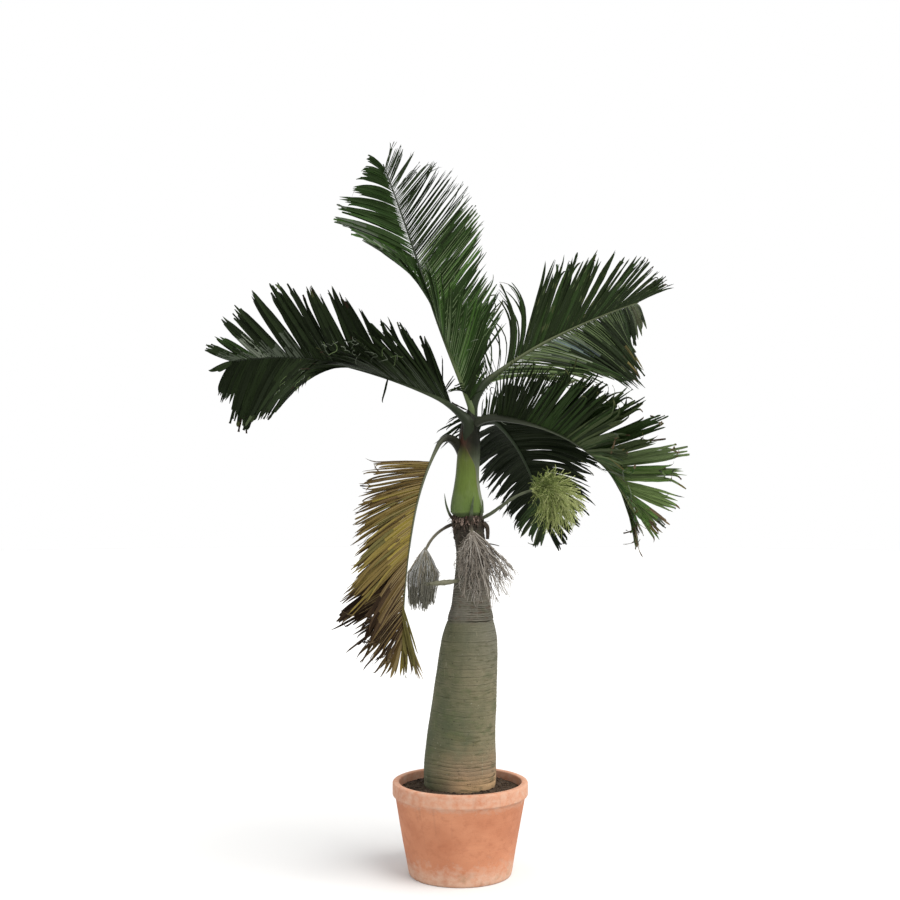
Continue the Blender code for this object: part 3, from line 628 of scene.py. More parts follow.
def make_shaft():
    angles = np.arange(SHAFT_SIDES) * 2 * np.pi / SHAFT_SIDES
    level = np.linspace(TRUNK_TOP - 0.003, 2.553, SHAFT_ROWS)[:, None]
    turn = np.degrees(np.arctan2(np.cos(angles), -np.sin(angles)))[None, :] + 0 * level
    ring = np.stack([np.cos(angles)[None, :] + 0 * level, np.sin(angles)[None, :] + 0 * level, level + 0 * turn], -1)
    wave = value_noise(ring * (2.5, 2.5, 14.0) + 30, 3) * 2.0
    from_middle = np.abs((turn - SHEATH_MIDDLE + 180) % 360 - 180)
    half = ease(level, *zip(*SHEATH_HALF)) + wave
    inside = half - from_middle
    outer = np.clip(inside / 2.2 + 0.5, 0, 1)
    edge = np.exp(-((inside - 1.0) / 2.6) ** 2) * np.clip((level - 1.99) / 0.06, 0, 1)
    edge = edge * np.clip((2.34 - level) / 0.12, 0, 1) * np.clip(0.6 + value_noise(ring * (6, 6, 40.0) + 30, 9), 0, 1)
    flush = np.exp(-(inside / 26.0) ** 2) * np.exp(-((level - 2.355) / 0.055) ** 2)
    radius = ease(np.clip(level, TRUNK_TOP + 0.0003, 2.555), *zip(*SHAFT_PROFILE)) + 0 * turn
    radius = radius * np.interp(level, (2.39, 2.44, 2.48, 2.52, 2.56), (1.0, 0.88, 0.60, 0.35, 0.1))
    second = np.clip((from_middle - 150 + 60 * (level - 2.0)) / 3.0 + 0.5, 0, 1)
    step = 0.0030 * outer - 0.0012 + 0.0016 * second * (1 - outer)
    step = step * np.clip((level - TRUNK_TOP) / 0.02, 0, 1) * np.clip((2.50 - level) / 0.1, 0, 1)
    lip = 0.0022 * np.exp(-((level - 1.962) / 0.006) ** 2)
    ridges = 0.0005 * value_noise(ring * (16.0, 16.0, 5.0) + 30, 4) + 0.0012 * value_noise(ring * (2, 2, 7) + 30, 5)
    radius = radius + step + lip + ridges * np.clip((level - TRUNK_TOP) / 0.02, 0, 1)
    hem = 0.004 * value_noise(ring * (3.0, 3.0, 0) + 30, 6) * np.clip((1.985 - level) / 0.04, 0, 1)
    points = stem_grid(level + hem * np.clip((level - TRUNK_TOP) / 0.01, 0, 1), radius, angles[None, :])
    # side runs from -1 on the shaft's left to 1 on its front and right; it places the outer sheath's painted shade and
    # painted light.
    side = np.clip((turn + 30) / 62.0, -1, 1)
    shaft = closed_stem("crownshaft_sheaths", points, [sheath_material()], outer=outer, edge=edge,
                        flush=flush, side=side)
    return put(shaft, "sheath_green", "crownshaft")


# Pot and soil

POT_PROFILE = (
    (0.0, 0.0), (0.14, 0.0), (0.262, 0.0), (0.272, 0.0006), (0.2775, 0.0035), (0.2805, 0.009), (0.284, 0.022),
    (0.2975, 0.10), (0.3155, 0.20), (0.3335, 0.30), (0.3505, 0.395), (0.3535, 0.412), (0.3550, 0.4195),
    (0.3580, 0.4235), (0.3635, 0.4252), (0.3675, 0.4272), (0.3695, 0.4310), (0.3700, 0.4370), (0.3700, 0.4600),
    (0.3698, 0.4850), (0.3690, 0.4930), (0.3665, 0.4975), (0.3620, 0.4998), (0.3560, 0.5000), (0.3440, 0.5000),
    (0.3390, 0.4993), (0.3355, 0.4970), (0.3342, 0.4925), (0.3338, 0.4700), (0.3325, 0.4400), (0.3300, 0.4200),
    (0.20, 0.4180), (0.0, 0.4180),
)
POT_SIDES = 168


def make_pot():
    outline = np.array(POT_PROFILE)
    extra = []
    for first, second in zip(outline, outline[1:]):
        pieces = max(1, int(np.hypot(*(second - first)) / 0.012))
        extra += [first + (second - first) * k / pieces for k in range(pieces)]
    outline = np.array(extra + [outline[-1]])[1:-1]
    angles = np.arange(POT_SIDES) * 2 * np.pi / POT_SIDES
    radius = outline[:, :1] + 0 * angles
    height = outline[:, 1:] + 0 * angles
    spot = np.stack([np.cos(angles) + 0 * radius, np.sin(angles) + 0 * radius, height * 5], -1)
    sag = 0.0012 * value_noise(spot * (1.2, 1.2, 1.0) + 20, 8) + 0.0004 * value_noise(spot * (6, 6, 8) + 20, 9)
    side = np.clip(height / 0.02, 0, 1)
    radius = radius + (sag - 0.0008) * side
    points = np.stack([radius * np.cos(angles), radius * np.sin(angles), height], -1)
    return put(closed_stem("pot_clay", points, [pot_material()]), "terracotta", "pot")


def soil_level(x, y):
    far = np.hypot(x, y)
    drop = np.clip((far - 0.21) / (0.334 - 0.21), 0, 1)
    spot = np.stack([x, y, 0 * x], -1)
    lumps = 0.0045 * value_noise(spot * 34 + 50, 21) + 0.0022 * value_noise(spot * 95 + 50, 22)
    lumps = lumps + 0.0012 * value_noise(spot * 240 + 50, 23)
    return SOIL_TOP + (SOIL_EDGE - SOIL_TOP) * drop + lumps * np.clip((0.334 - far) / 0.02, 0.25, 1) - 0.001


BALL_POINTS = unit(np.array([
    (0, 1, 1.618), (0, -1, 1.618), (0, 1, -1.618), (0, -1, -1.618), (1, 1.618, 0), (-1, 1.618, 0),
    (1, -1.618, 0), (-1, -1.618, 0), (1.618, 0, 1), (-1.618, 0, 1), (1.618, 0, -1), (-1.618, 0, -1)]))
BALL_FACES = np.array([
    (0, 1, 8), (0, 8, 4), (0, 4, 5), (0, 5, 9), (0, 9, 1), (1, 6, 8), (8, 6, 10), (8, 10, 4), (4, 10, 2), (4, 2, 5),
    (5, 2, 11), (5, 11, 9), (9, 11, 7), (9, 7, 1), (1, 7, 6), (3, 6, 7), (3, 7, 11), (3, 11, 2), (3, 2, 10),
    (3, 10, 6)])


def add_balls(bunch, centres, sizes, rng, rough=0.25, stuff=0):
    """Small uneven lumps. sizes is (n, 3)."""
    count = len(centres)
    shape = BALL_POINTS[None] * (1 + rng.uniform(-rough, rough, (count, 12, 1)))
    turn = rng.uniform(0, 2 * np.pi, count)
    c = np.cos(turn)[:, None]
    s = np.sin(turn)[:, None]
    shape = shape * np.asarray(sizes)[:, None]
    shape = np.stack([c * shape[..., 0] - s * shape[..., 1], s * shape[..., 0] + c * shape[..., 1],
                      shape[..., 2]], -1)
    faces = (BALL_FACES[None] + 12 * np.arange(count)[:, None, None]).reshape(-1, 3)
    bunch.add(shape + np.asarray(centres)[:, None], faces, stuff)


def make_soil():
    rng = np.random.default_rng(5)
    sides = 200
    angles = np.arange(sides) * 2 * np.pi / sides
    radii = np.linspace(0.333, 0.165, 46)[:, None]
    x = radii * np.cos(angles)
    y = radii * np.sin(angles)
    rings = [np.stack([x[0], y[0], 0 * x[0] + 0.425], -1)[None]]
    rings.append(np.stack([x, y, soil_level(x, y)], -1))
    rings.append(np.stack([x[-1], y[-1], 0 * x[-1] + 0.425], -1)[None])
    points = np.concatenate(rings)
    bunch = Bunch()
    bunch.add(points, grid_faces(len(points), sides))
    inner = np.arange(sides) + (len(points) - 1) * sides
    outer = np.arange(sides)
    bunch.faces.append(np.stack([inner, np.roll(inner, -1), np.roll(outer, -1), outer], -1))
    bunch.stuff.append(np.zeros(sides, int))
    count = 1500
    far = np.sqrt(rng.uniform(0.196 ** 2, 0.326 ** 2, count))
    turn = rng.uniform(0, 2 * np.pi, count)
    x = far * np.cos(turn)
    y = far * np.sin(turn)
    size = 0.0018 + 0.0075 * rng.random(count) ** 3
    centres = np.stack([x, y, soil_level(x, y) + size * 0.3], -1)
    sizes = size[:, None] * rng.uniform((0.8, 0.8, 0.5), (1.3, 1.3, 0.9), (count, 3))
    add_balls(bunch, centres, sizes, rng)
    litter = Bunch()
    count = 46
    far = np.sqrt(rng.uniform(0.215 ** 2, 0.30 ** 2, count))
    turn = rng.uniform(0, 2 * np.pi, count)
    lie = rng.uniform(0, 2 * np.pi, count)
    along = np.stack([np.cos(lie), np.sin(lie), 0 * lie], -1)
    length = rng.uniform(0.012, 0.045, count)
    t = np.linspace(-0.5, 0.5, 7)
    path = np.stack([far * np.cos(turn), far * np.sin(turn), 0 * far], -1)[:, None]
    path = path + along[:, None] * (t[:, None] * length[:, None, None])
    path[..., 2] = soil_level(path[..., 0], path[..., 1]) + 0.0012 + 0.004 * np.abs(t) * rng.random((count, 1))
    width = (1 - (2 * np.abs(t)) ** 2.5 * 0.85) * rng.uniform(0.0008, 0.0028, (count, 1))
    side = np.broadcast_to(np.cross(along, (0, 0, 1))[:, None], path.shape)
    add_tubes(litter, path, width, 4, across=side, flat=0.25)
    put(litter.build("soil_litter", [LEAF["dry_brown"]]), "soil", "soil")
    return put(bunch.build("soil_surface", [soil_material()]), "soil", "soil")


# Fronds, by the part's rule with more and finer leaflets

CLIMB_AT = (0.0, 0.15, 0.5, 1.0)
Row = namedtuple("Row", "sweep lift reach sag")
Frond = namedtuple("Frond", "foot length heading climb twist bare thick right left cut")

FRONDS = {
    "top": Frond(
        foot=(0.058, -0.012, 2.55), length=1.50, heading=(158, 151), climb=(68, 66, 71, 67),
        twist=(-20, 20, 45), bare=0.07, thick=0.013, cut=None,
        right=Row(sweep=(50, 54, 54, 50, 56), lift=(70, 62, 40, 12, -24), reach=(0.49, 0.51, 0.53, 0.24), sag=(0, 0)),
        left=Row(sweep=(46, 54, 30), lift=(75, 5, -70), reach=(0.42, 0.52, 0.50, 0.22), sag=(0, 0.25)),
    ),
    "upright": Frond(
        foot=(0.077, 0.030, 2.52), length=1.35, heading=(18, 35), climb=(88, 38, 26, 18),
        twist=(90, 78, 62), bare=0.12, thick=0.013, cut=0.5,
        right=Row(sweep=(36, 39, 42, 36, 16), lift=(20, 12, 2, -14, -6), reach=(0.56, 0.58, 0.50, 0.31), sag=(0, 0)),
        left=Row(sweep=(30, 36, 44, 44, 66), lift=(-36, -38, -14, 12, 38), reach=(0.53, 0.56, 0.56, 0.54, 0.42),
                 sag=(0.25, 0.25)),
    ),
    "left": Frond(
        foot=(0.028, 0.020, 2.48), length=1.47, heading=(169, 165), climb=(46, 24, 15, -8),
        twist=(10, 50, 80), bare=0.07, thick=0.014, cut=0.5,
        right=Row(sweep=(36, 50, 38), lift=(70, 40, -5), reach=(0.39, 0.55, 0.55, 0.24), sag=(0, 0)),
        left=Row(sweep=(30, 75, 55), lift=(75, 40, -45), reach=(0.53, 0.55, 0.43, 0.23), sag=(0, 0.45)),
    ),
    "right": Frond(
        foot=(0.110, -0.020, 2.445), length=1.10, heading=(-40, -30), climb=(26, -8, -24, -58),
        twist=(-28, -13, -40), bare=0.11, thick=0.014, cut=0.5,
        right=Row(sweep=(62, 57, 57, 56, 50, 22, 44), lift=(68, 78, 80, 76, 58, 22, 4),
                  reach=(0.41, 0.50, 0.49, 0.27), sag=(0, 0.1)),
        left=Row(sweep=(64, 59, 56, 54, 52, 46, 4), lift=(80, 86, 86, 82, 60, 44, 31),
                 reach=(0.38, 0.44, 0.50, 0.44, 0.24), sag=(0, 0)),
    ),
    "back": Frond(
        foot=(0.128, 0.040, 2.47), length=1.15, heading=(55, 74), climb=(8, -24, -38, -46),
        twist=(-2, 2, 3), bare=0.07, thick=0.013, cut=0.5,
        right=Row(sweep=(58, 56, 55, 44, 16), lift=(22, 40, 42, 24, 17), reach=(0.53, 0.54, 0.38, 0.24),
                  sag=(0.32, 0.16)),
        left=Row(sweep=(58, 56, 48, 48, 30), lift=(20, 14, 10, 10, 8), reach=(0.52, 0.53, 0.36, 0.23), sag=(0.2, 0.13)),
    ),
    "old": Frond(
        foot=(0.000, -0.050, 2.34), length=1.24, heading=(-135, -143), climb=(45, -55, -77, -90),
        twist=(-34, -35, -22), bare=0.238, thick=0.013, cut=0.5,
        right=Row(sweep=(78, 56, 52, 62, 70), lift=(64, 70, 70, 50, 14), reach=(0.38, 0.41, 0.43, 0.48, 0.29),
                  sag=(0.4, 0.2)),
        left=Row(sweep=(64, 52, 49, 36, 84), lift=(62, 60, 56, 58, 34), reach=(0.40, 0.47, 0.48, 0.44, 0.30),
                 sag=(0.3, 0.15)),
    ),
}
RIB_TIP_SHARE = 0.28
PETIOLE_ROOT = 0.07


def rib_frame(frond):
    share = np.linspace(0, 1, 61)
    heading = np.radians(np.interp(share, (0, 1), frond.heading))
    climb = np.radians(np.interp(share, CLIMB_AT, frond.climb))
    along = np.stack([np.cos(climb) * np.cos(heading), np.cos(climb) * np.sin(heading), np.sin(climb)], -1)
    steps = along[1:] + along[:-1]
    steps *= frond.length / 60 / np.linalg.norm(steps, axis=1)[:, None]
    points = np.vstack([frond.foot, np.asarray(frond.foot) + np.cumsum(steps, axis=0)])
    level = np.stack([np.sin(heading), -np.cos(heading), 0 * heading], -1)
    above = np.cross(level, along)
    roll = np.radians(np.interp(share, (0, 0.5, 1), frond.twist))[:, None]
    side = np.cos(roll) * level + np.sin(roll) * above
    return share, points, along, side, np.cross(side, along)


def at(rib, shares):
    """Points and unit directions of the rib at these shares of its length."""
    share, points, along, side, above = rib
    found = [np.stack([np.interp(shares, share, part[:, k]) for k in range(3)], -1)
             for part in (points, along, side, above)]
    return found[0], unit(found[1]), unit(found[2]), unit(found[3])


# How a row's leaflets are dealt out. Each entry holds up to a share of the row: how many cling
# together, how far their tips draw in to one point, how wide they are and how wide at the root,
# their plain colours, how much of the part's sag they keep, which way they arch, how many are left,
# the colours of their outer part with where it starts, and how much of the reach they keep.
Span = namedtuple("Span", "until clump pull width root tones limp arch keep late short",
                  defaults=(1.0, (0.0, 0.0, 0.0), 1.0, None, 1.0))
Look = namedtuple("Look", "pairs right left tips tip_share blunt under vein fold curl hook petiole seat dark light "
                          "heel rib slot seed ragged inner far", defaults=(0.12, None, None))

LOOKS = {
    "top": Look(
        pairs=148, seed=31, slot="leaf_bright", fold=30, curl=0.04, blunt=0.35, hook=0.010,
        right=(Span(0.12, (2, 4), 0.25, 0.016, 0.60, "deep_green mid_green deep_green dark_green"),
               Span(0.50, (5, 9), 0.25, 0.018, 0.60, "mid_green deep_green fresh_green deep_green dark_green mid_green"),
               Span(0.58, (2, 4), 0.30, 0.014, 0.50, "deep_green mid_green dark_green"),
               Span(0.84, (2, 4), 0.92, 0.0086, 0.85, "black_green shade_green dark_green"),
               Span(0.92, (5, 7), 0.90, 0.0100, 0.70, "dark_green black_green"),
               Span(1.01, (8, 10), 0.90, 0.0105, 0.65, "dark_green black_green")),
        left=(Span(0.42, (4, 8), 0.30, 0.020, 0.60, "mid_green deep_green fresh_green mid_green deep_green"),
              Span(0.60, (9, 13), 0.50, 0.025, 0.24, "fresh_green mid_green bright_green mid_green",
                   late=("fresh_green grey_green sheen mid_green", 0.60)),
              Span(1.01, (9, 13), 0.58, 0.024, 0.18, "mid_green deep_green fresh_green deep_green")),
        tips="grey_green sheen olive_green", tip_share=0.35, under=("deep_green", "mid_green"),
        # The top frond's crest lanes carry the pale midrib colour, partly a painted highlight.
        vein=("midrib_highlight_green", 0.9), petiole=(0.030, 0.025, 0.28, 1, 0.85), seat=(95, 0.015, (0.0, 0.022, 0.0)),
        rib="stalk_green", dark=(0.030, 0.044, 0.016), light=(0.070, 0.098, 0.036), heel=(0.080, 0.110, 0.042),
        far=(0.014, 0.020, 0.009),
    ),
    "upright": Look(
        pairs=112, seed=32, slot="leaf_green", fold=26, curl=0.06, blunt=0.40, hook=0.014,
        right=(Span(0.14, (1, 1), 0.0, 0.009, 0.50, "dark_green black_green dark_green", 1.0, (-0.34, 0, -0.12), 0.5),
               Span(0.20, (5, 6), 0.90, 0.017, 0.60, "dark_green", 1.0, (-0.22, 0.0, -0.07)),
               Span(0.42, (4, 9), 0.35, 0.026, 0.65, "dark_green moss_green olive_green deep_green"),
               Span(0.80, (4, 7), 0.50, 0.028, 0.65, "moss_green dark_green moss_green olive_green"),
               Span(1.01, (5, 7), 0.65, 0.026, 0.62, "moss_green moss_green olive_green")),
        left=(Span(0.22, (1, 3), 0.20, 0.012, 0.50, "dark_green deep_green pale_green"),
              Span(0.34, (3, 6), 0.35, 0.022, 0.34, "grey_green sheen dark_green moss_green",
                    late=("deep_green moss_green dark_green", 0.45)),
              Span(0.50, (3, 6), 0.35, 0.022, 0.34, "blue_sheen dark_green blue_sheen grey_green black_green",
                    late=("dark_green black_green", 0.36)),
              Span(0.74, (6, 10), 0.20, 0.026, 0.30, "dark_green black_green dark_green",
                   late=("olive_green brown dark_green olive", 1.25)),
              Span(0.90, (8, 14), 0.12, 0.032, 0.34, "dark_green deep_green dark_green"),
              Span(1.01, (9, 14), 0.12, 0.032, 0.45, "moss_green dark_green olive_green",
                    late=("olive_green brown moss_green", 0.75))),
        tips="olive_green brown deep_green", tip_share=0.35, under=("dark_green", "deep_green"),
        vein=("pale_green", 0.6), petiole=(0.038, 0.029, 0.27, 3, 1.1), seat=(15, 0.014, (-0.008, -0.016, 0.0)),
        rib="stalk_green", dark=(0.038, 0.048, 0.020), light=(0.088, 0.104, 0.046), heel=(0.014, 0.022, 0.008),
    ),
    "left": Look(
        pairs=104, seed=33, slot="leaf_dark", fold=24, curl=0.05, blunt=0.55, hook=0.010, ragged=0.17,
        right=(Span(0.32, (5, 8), 1.00, 0.030, 0.85, "dark_green black_green black_green"),
               Span(0.64, (7, 14), 0.45, 0.030, 0.80, "black_green dark_green black_green"),
               Span(0.78, (6, 9), 0.70, 0.030, 0.70, "dark_green grey_green black_green",
                    late=("dark_green black_green", 0.28)),
               Span(0.92, (5, 7), 0.62, 0.032, 0.55, "sheen black_green grey_green dark_green sheen deep_green",
                    late=("dark_green black_green deep_green", 0.39)),
               Span(1.01, (5, 7), 0.60, 0.032, 0.60, "grey_green deep_green", late=("dark_green moss_green", 0.5))),
        left=(Span(0.50, (3, 7), 0.30, 0.028, 0.80, "black_green dark_green"),
              Span(0.70, (4, 7), 0.08, 0.038, 0.80, "moss_green dark_green black_green olive_green",
                   late=("black_green dark_green", 0.40)),
              Span(1.01, (7, 13), 0.06, 0.044, 0.80, "dark_green black_green black_green")),
        tips="moss_green grey_green olive_green dark_brown", tip_share=0.35, under=("black_green", "dark_green"),
        vein=("grey_green", 0.40), petiole=(0.044, 0.038, 0.11, 1, 1.05), seat=(-100, 0.024, (0.002, -0.042, -0.006)),
        rib="stalk_green", dark=(0.020, 0.030, 0.014), light=(0.056, 0.072, 0.036), heel=(0.015, 0.021, 0.010),
        far=(0.010, 0.014, 0.007),
    ),
    "right": Look(
        pairs=150, seed=34, slot="leaf_dark", fold=28, curl=0.07, blunt=0.25, hook=0.020,
        right=(Span(0.20, (2, 4), 0.20, 0.011, 0.75, "black_green dark_green"),
               Span(0.45, (5, 10), 0.40, 0.018, 0.80, "dark_green black_green deep_green"),
               Span(0.66, (5, 10), 0.50, 0.022, 0.75, "dark_green moss_green deep_green moss_green"),
               Span(0.80, (5, 10), 0.45, 0.025, 0.70, "moss_green olive_green pale_green mid_green"),
               Span(0.95, (3, 7), 0.35, 0.026, 0.70, "lime_green bright_green pale_green lime_green",
                    late=("brown grey_green moss_green dry_brown", 0.92)),
               Span(1.01, (3, 5), 0.45, 0.024, 0.70, "moss_green brown dry_brown lime_green")),
        left=(Span(0.20, (2, 5), 0.20, 0.013, 0.75, "dark_green black_green"),
              Span(0.42, (6, 12), 0.40, 0.018, 0.80, "dark_green black_green deep_green"),
              Span(0.64, (6, 12), 0.45, 0.021, 0.80, "moss_green deep_green dark_green moss_green"),
              Span(0.69, (6, 8), 0.45, 0.022, 0.80, "moss_green mid_green lime_green", short=0.80),
              Span(0.86, (8, 14), 0.40, 0.024, 0.80, "lime_green pale_green lime_green bright_green"),
              Span(1.01, (3, 6), 0.40, 0.026, 0.70, "lime_green pale_green bright_green pale_green",
                    late=("brown grey_green olive dry_brown", 0.90))),
        tips="dry_brown brown grey_green olive", tip_share=0.6, inner="dark_green olive_green", under=None,
        vein=("pale_green", 0.70), petiole=(0.036, 0.028, 0.33, 3, 0.82), seat=(-30, 0.006, (-0.012, 0.0, 0.010)),
        rib="stalk_green", dark=(0.030, 0.038, 0.021), light=(0.078, 0.092, 0.056), heel=(0.024, 0.028, 0.017),
    ),
    "back": Look(
        pairs=96, seed=35, slot="leaf_dark", fold=26, curl=0.07, blunt=0.15, hook=0.012,
        right=(Span(0.35, (2, 4), 0.30, 0.030, 0.90, "shade_green black_green"),
               Span(0.75, (2, 4), 0.45, 0.028, 0.85, "shade_green shade_green black_green"),
               Span(1.01, (3, 6), 0.45, 0.035, 0.80, "moss_green deep_green grey_green black_green")),
        left=(Span(0.35, (2, 4), 0.60, 0.027, 0.85, "shade_green shade_green black_green"),
              Span(0.75, (2, 4), 0.60, 0.027, 0.85, "shade_green black_green"),
              Span(1.01, (3, 6), 0.45, 0.034, 0.80, "dark_green deep_green moss_green black_green")),
        tips="dark_green olive_green", tip_share=0.25, under=("shade_green", "black_green"), vein=("black_green", 0.3),
        petiole=(0.036, 0.022, 0.12, 1, 0.95), seat=(55, 0.018, (0.0, 0.0, 0.0)), rib="stalk_green",
        dark=(0.008, 0.014, 0.005), light=(0.020, 0.034, 0.012), heel=(0.010, 0.015, 0.007),
    ),
    "old": Look(
        pairs=76, seed=36, slot="leaf_yellowed", fold=30, curl=0.06, blunt=0.25, hook=0.016, ragged=0.20,
        right=(Span(0.14, (1, 2), 0.10, 0.017, 0.95, "deep_ochre ochre umber olive", 0.20),
               Span(0.34, (1, 3), 0.30, 0.021, 0.85, "ochre deep_ochre olive ochre", 0.30,
                    late=("deep_ochre deep_ochre umber ochre", 0.66)),
               Span(0.58, (1, 3), 0.30, 0.022, 0.85, "ochre olive yellow deep_ochre umber", 0.35,
                    late=("umber deep_ochre brown", 0.55)),
               Span(0.70, (3, 6), 0.35, 0.030, 0.60, "umber brown dark_brown", 0.30, late=("dark_brown brown", 0.4)),
               Span(0.90, (1, 3), 0.30, 0.022, 0.45, "dark_brown brown dark_brown", 0.25),
               Span(1.01, (2, 4), 0.40, 0.026, 0.80, "brown umber dark_brown deep_ochre", 0.30)),
        left=(Span(0.14, (1, 2), 0.10, 0.017, 0.95, "ochre deep_ochre umber ochre", 0.20),
              Span(0.28, (1, 3), 0.30, 0.021, 0.85, "yellow ochre olive ochre", 0.35,
                   late=("deep_ochre ochre umber ochre", 0.70)),
              Span(0.56, (1, 3), 0.30, 0.022, 0.85, "yellow gold yellow ochre", 0.40,
                   late=("gold olive ochre umber gold ochre", 0.28)),
              Span(0.70, (3, 5), 0.35, 0.026, 0.60, "deep_ochre umber brown", 0.60, late=("brown dark_brown", 0.5)),
              Span(0.90, (1, 3), 0.30, 0.022, 0.45, "brown dark_brown umber", 0.30),
              Span(1.01, (2, 4), 0.40, 0.026, 0.80, "brown umber deep_ochre dark_brown", 0.30)),
        tips="brown dark_brown dry_brown", tip_share=0.6, under=("brown", "dark_brown"), vein=("straw", 0.85),
        petiole=(0.032, 0.0280, 0.19, 2, 0.90), seat=(-165, 0.024, (-0.012, 0.032, -0.010)), rib="stalk_dry",
        dark=(0.050, 0.058, 0.032), light=(0.115, 0.122, 0.076), heel=(0.012, 0.012, 0.007),
    ),
}

STATIONS = np.array([0, 0.04, 0.10, 0.18, 0.28, 0.39, 0.50, 0.61, 0.71, 0.80, 0.87, 0.93, 0.97, 1.0])
NARROWING = np.array([1.0, 1.0, 1.0, 1.0, 1.0, 1.0, 0.99, 0.95, 0.87, 0.74, 0.58, 0.38, 0.20, 0.06])
LANES = 5


def add_blades(bunch, root, direction, across, reach, sag, width, rng, fold=22, curl=0.05, wave=0.02,
               twist=22, tone=0, other=None, under=0, vein=0, vein_to=0.4, tip=None, tip_from=0.8, blunt=False,
               foot=0.6, arch=(0.0, 0.0, 0.0), hook=0.0):
    """Leaflets as thin closed blades, folded along a raised midrib. Most arguments may be one per leaflet."""
    count = len(root)

    def each(value):
        return np.broadcast_to(np.asarray(value, float), (count,))[:, None]

    t = STATIONS[None]
    normal = np.cross(direction, across)
    bend = each(reach) * each(curl) * rng.normal(0, 1, (count, 1)) * t ** 3
    drift = each(reach) * each(wave) * rng.normal(0, 1, (count, 1)) * t ** 2
    spine = root[:, None] + (each(reach) * t)[..., None] * direction[:, None]
    spine[..., 2] -= each(reach) * each(sag) * t * t
    spine = spine + bend[..., None] * normal[:, None] + drift[..., None] * across[:, None]
    spine = spine + np.broadcast_to(arch, (count, 3))[:, None] * (t ** 2.5)[..., None]
    late = np.clip((t - 0.70) / 0.30, 0, 1) ** 2
    kick = rng.normal(0, 1, (count, 1, 3)) * (1.0, 1.0, 0.8)
    curve = np.clip((t - 0.86) / 0.14, 0, 1) ** 2
    spine = spine + (each(hook) * late)[..., None] * kick
    spine = spine - (each(hook) * curve)[..., None] * (1.1 * direction[:, None] + 1.2 * np.roll(kick, 1, axis=-1))
    tangent = unit(np.gradient(spine, axis=1))
    side = across[:, None] - tangent * (across[:, None] * tangent).sum(-1, keepdims=True)
    side = unit(side)
    above = np.cross(tangent, side)
    roll = np.radians(rng.normal(0, twist, (count, 1)) + rng.normal(0, twist * 0.8, (count, 1)) * t)[..., None]
    side, above = np.cos(roll) * side + np.sin(roll) * above, np.cos(roll) * above - np.sin(roll) * side
    rise = np.clip(t / 0.36, 0, 1)
    shape = (each(foot) + (1 - each(foot)) * rise * rise * (3 - 2 * rise)) * NARROWING
    blunt = np.broadcast_to(np.asarray(blunt), (count,))
    shape[blunt, -4:] = np.maximum(shape[blunt, -4:], rng.uniform((0.50, 0.42, 0.30, 0.15), (0.70, 0.66, 0.60, 0.5),
                                                                 (blunt.sum(), 4)))
    half = (0.5 * each(width) * shape)[..., None]
    v = np.radians(each(fold) * rng.uniform(0.6, 1.3, (count, 1)))[..., None] * (1 - 0.5 * t[..., None] ** 2)
    ripple = (0.0010 * rng.normal(0, 1, spine.shape[:2]))[..., None]
    left = spine + half * (np.cos(v) * side + np.sin(v) * above) + ripple * above
    right = spine - half * (np.cos(v) * side - np.sin(v) * above) - ripple * above
    thick = (0.0011 * (1 - 0.5 * t))[..., None]
    midrib = np.minimum(0.0019 * (1 - 0.7 * t)[..., None], half * 0.3)
    crest = spine + 0.8 * thick * above
    points = np.stack([left, crest + midrib * side, crest - midrib * side, right, spine - thick * above], 2)
    steps = len(STATIONS)
    quads = grid_faces(steps, LANES)
    base = (np.arange(count) * steps * LANES)[:, None, None]
    faces = (quads[None] + base).reshape(-1, 4)

    def dealt(value):
        return np.broadcast_to(np.asarray(value), (count,))[:, None]

    lane = np.tile(np.arange(LANES), steps - 1)[None]
    part = np.repeat(STATIONS[:-1], LANES)[None]
    other = tone if other is None else other
    stuff = np.where(lane == 0, dealt(tone), np.where(lane == 2, dealt(other), dealt(under)))
    stuff = np.where((lane == 1), np.where(part < each(vein_to), dealt(vein), dealt(tone)), stuff)
    stuff = np.where(part >= each(tip_from), dealt(tone if tip is None else tip), stuff)
    first = bunch.count
    marks = np.broadcast_to(np.array([1.0, 0.1, -0.1, -1.0, 0.0]), (count, steps, LANES))
    bunch.add(points, faces, stuff.reshape(-1), across=marks)
    ends = np.array([np.arange(LANES)[::-1], np.arange(LANES) + LANES * (steps - 1)])
    bunch.faces.append((ends[None] + base + first).reshape(-1, LANES))
    bunch.stuff.append(np.repeat(dealt(tone)[:, 0], 2))


def tone_index(names, rng, count=None):
    options = [LEAF_NAMES.index(name) for name in names.split()]
    return rng.choice(options, count)


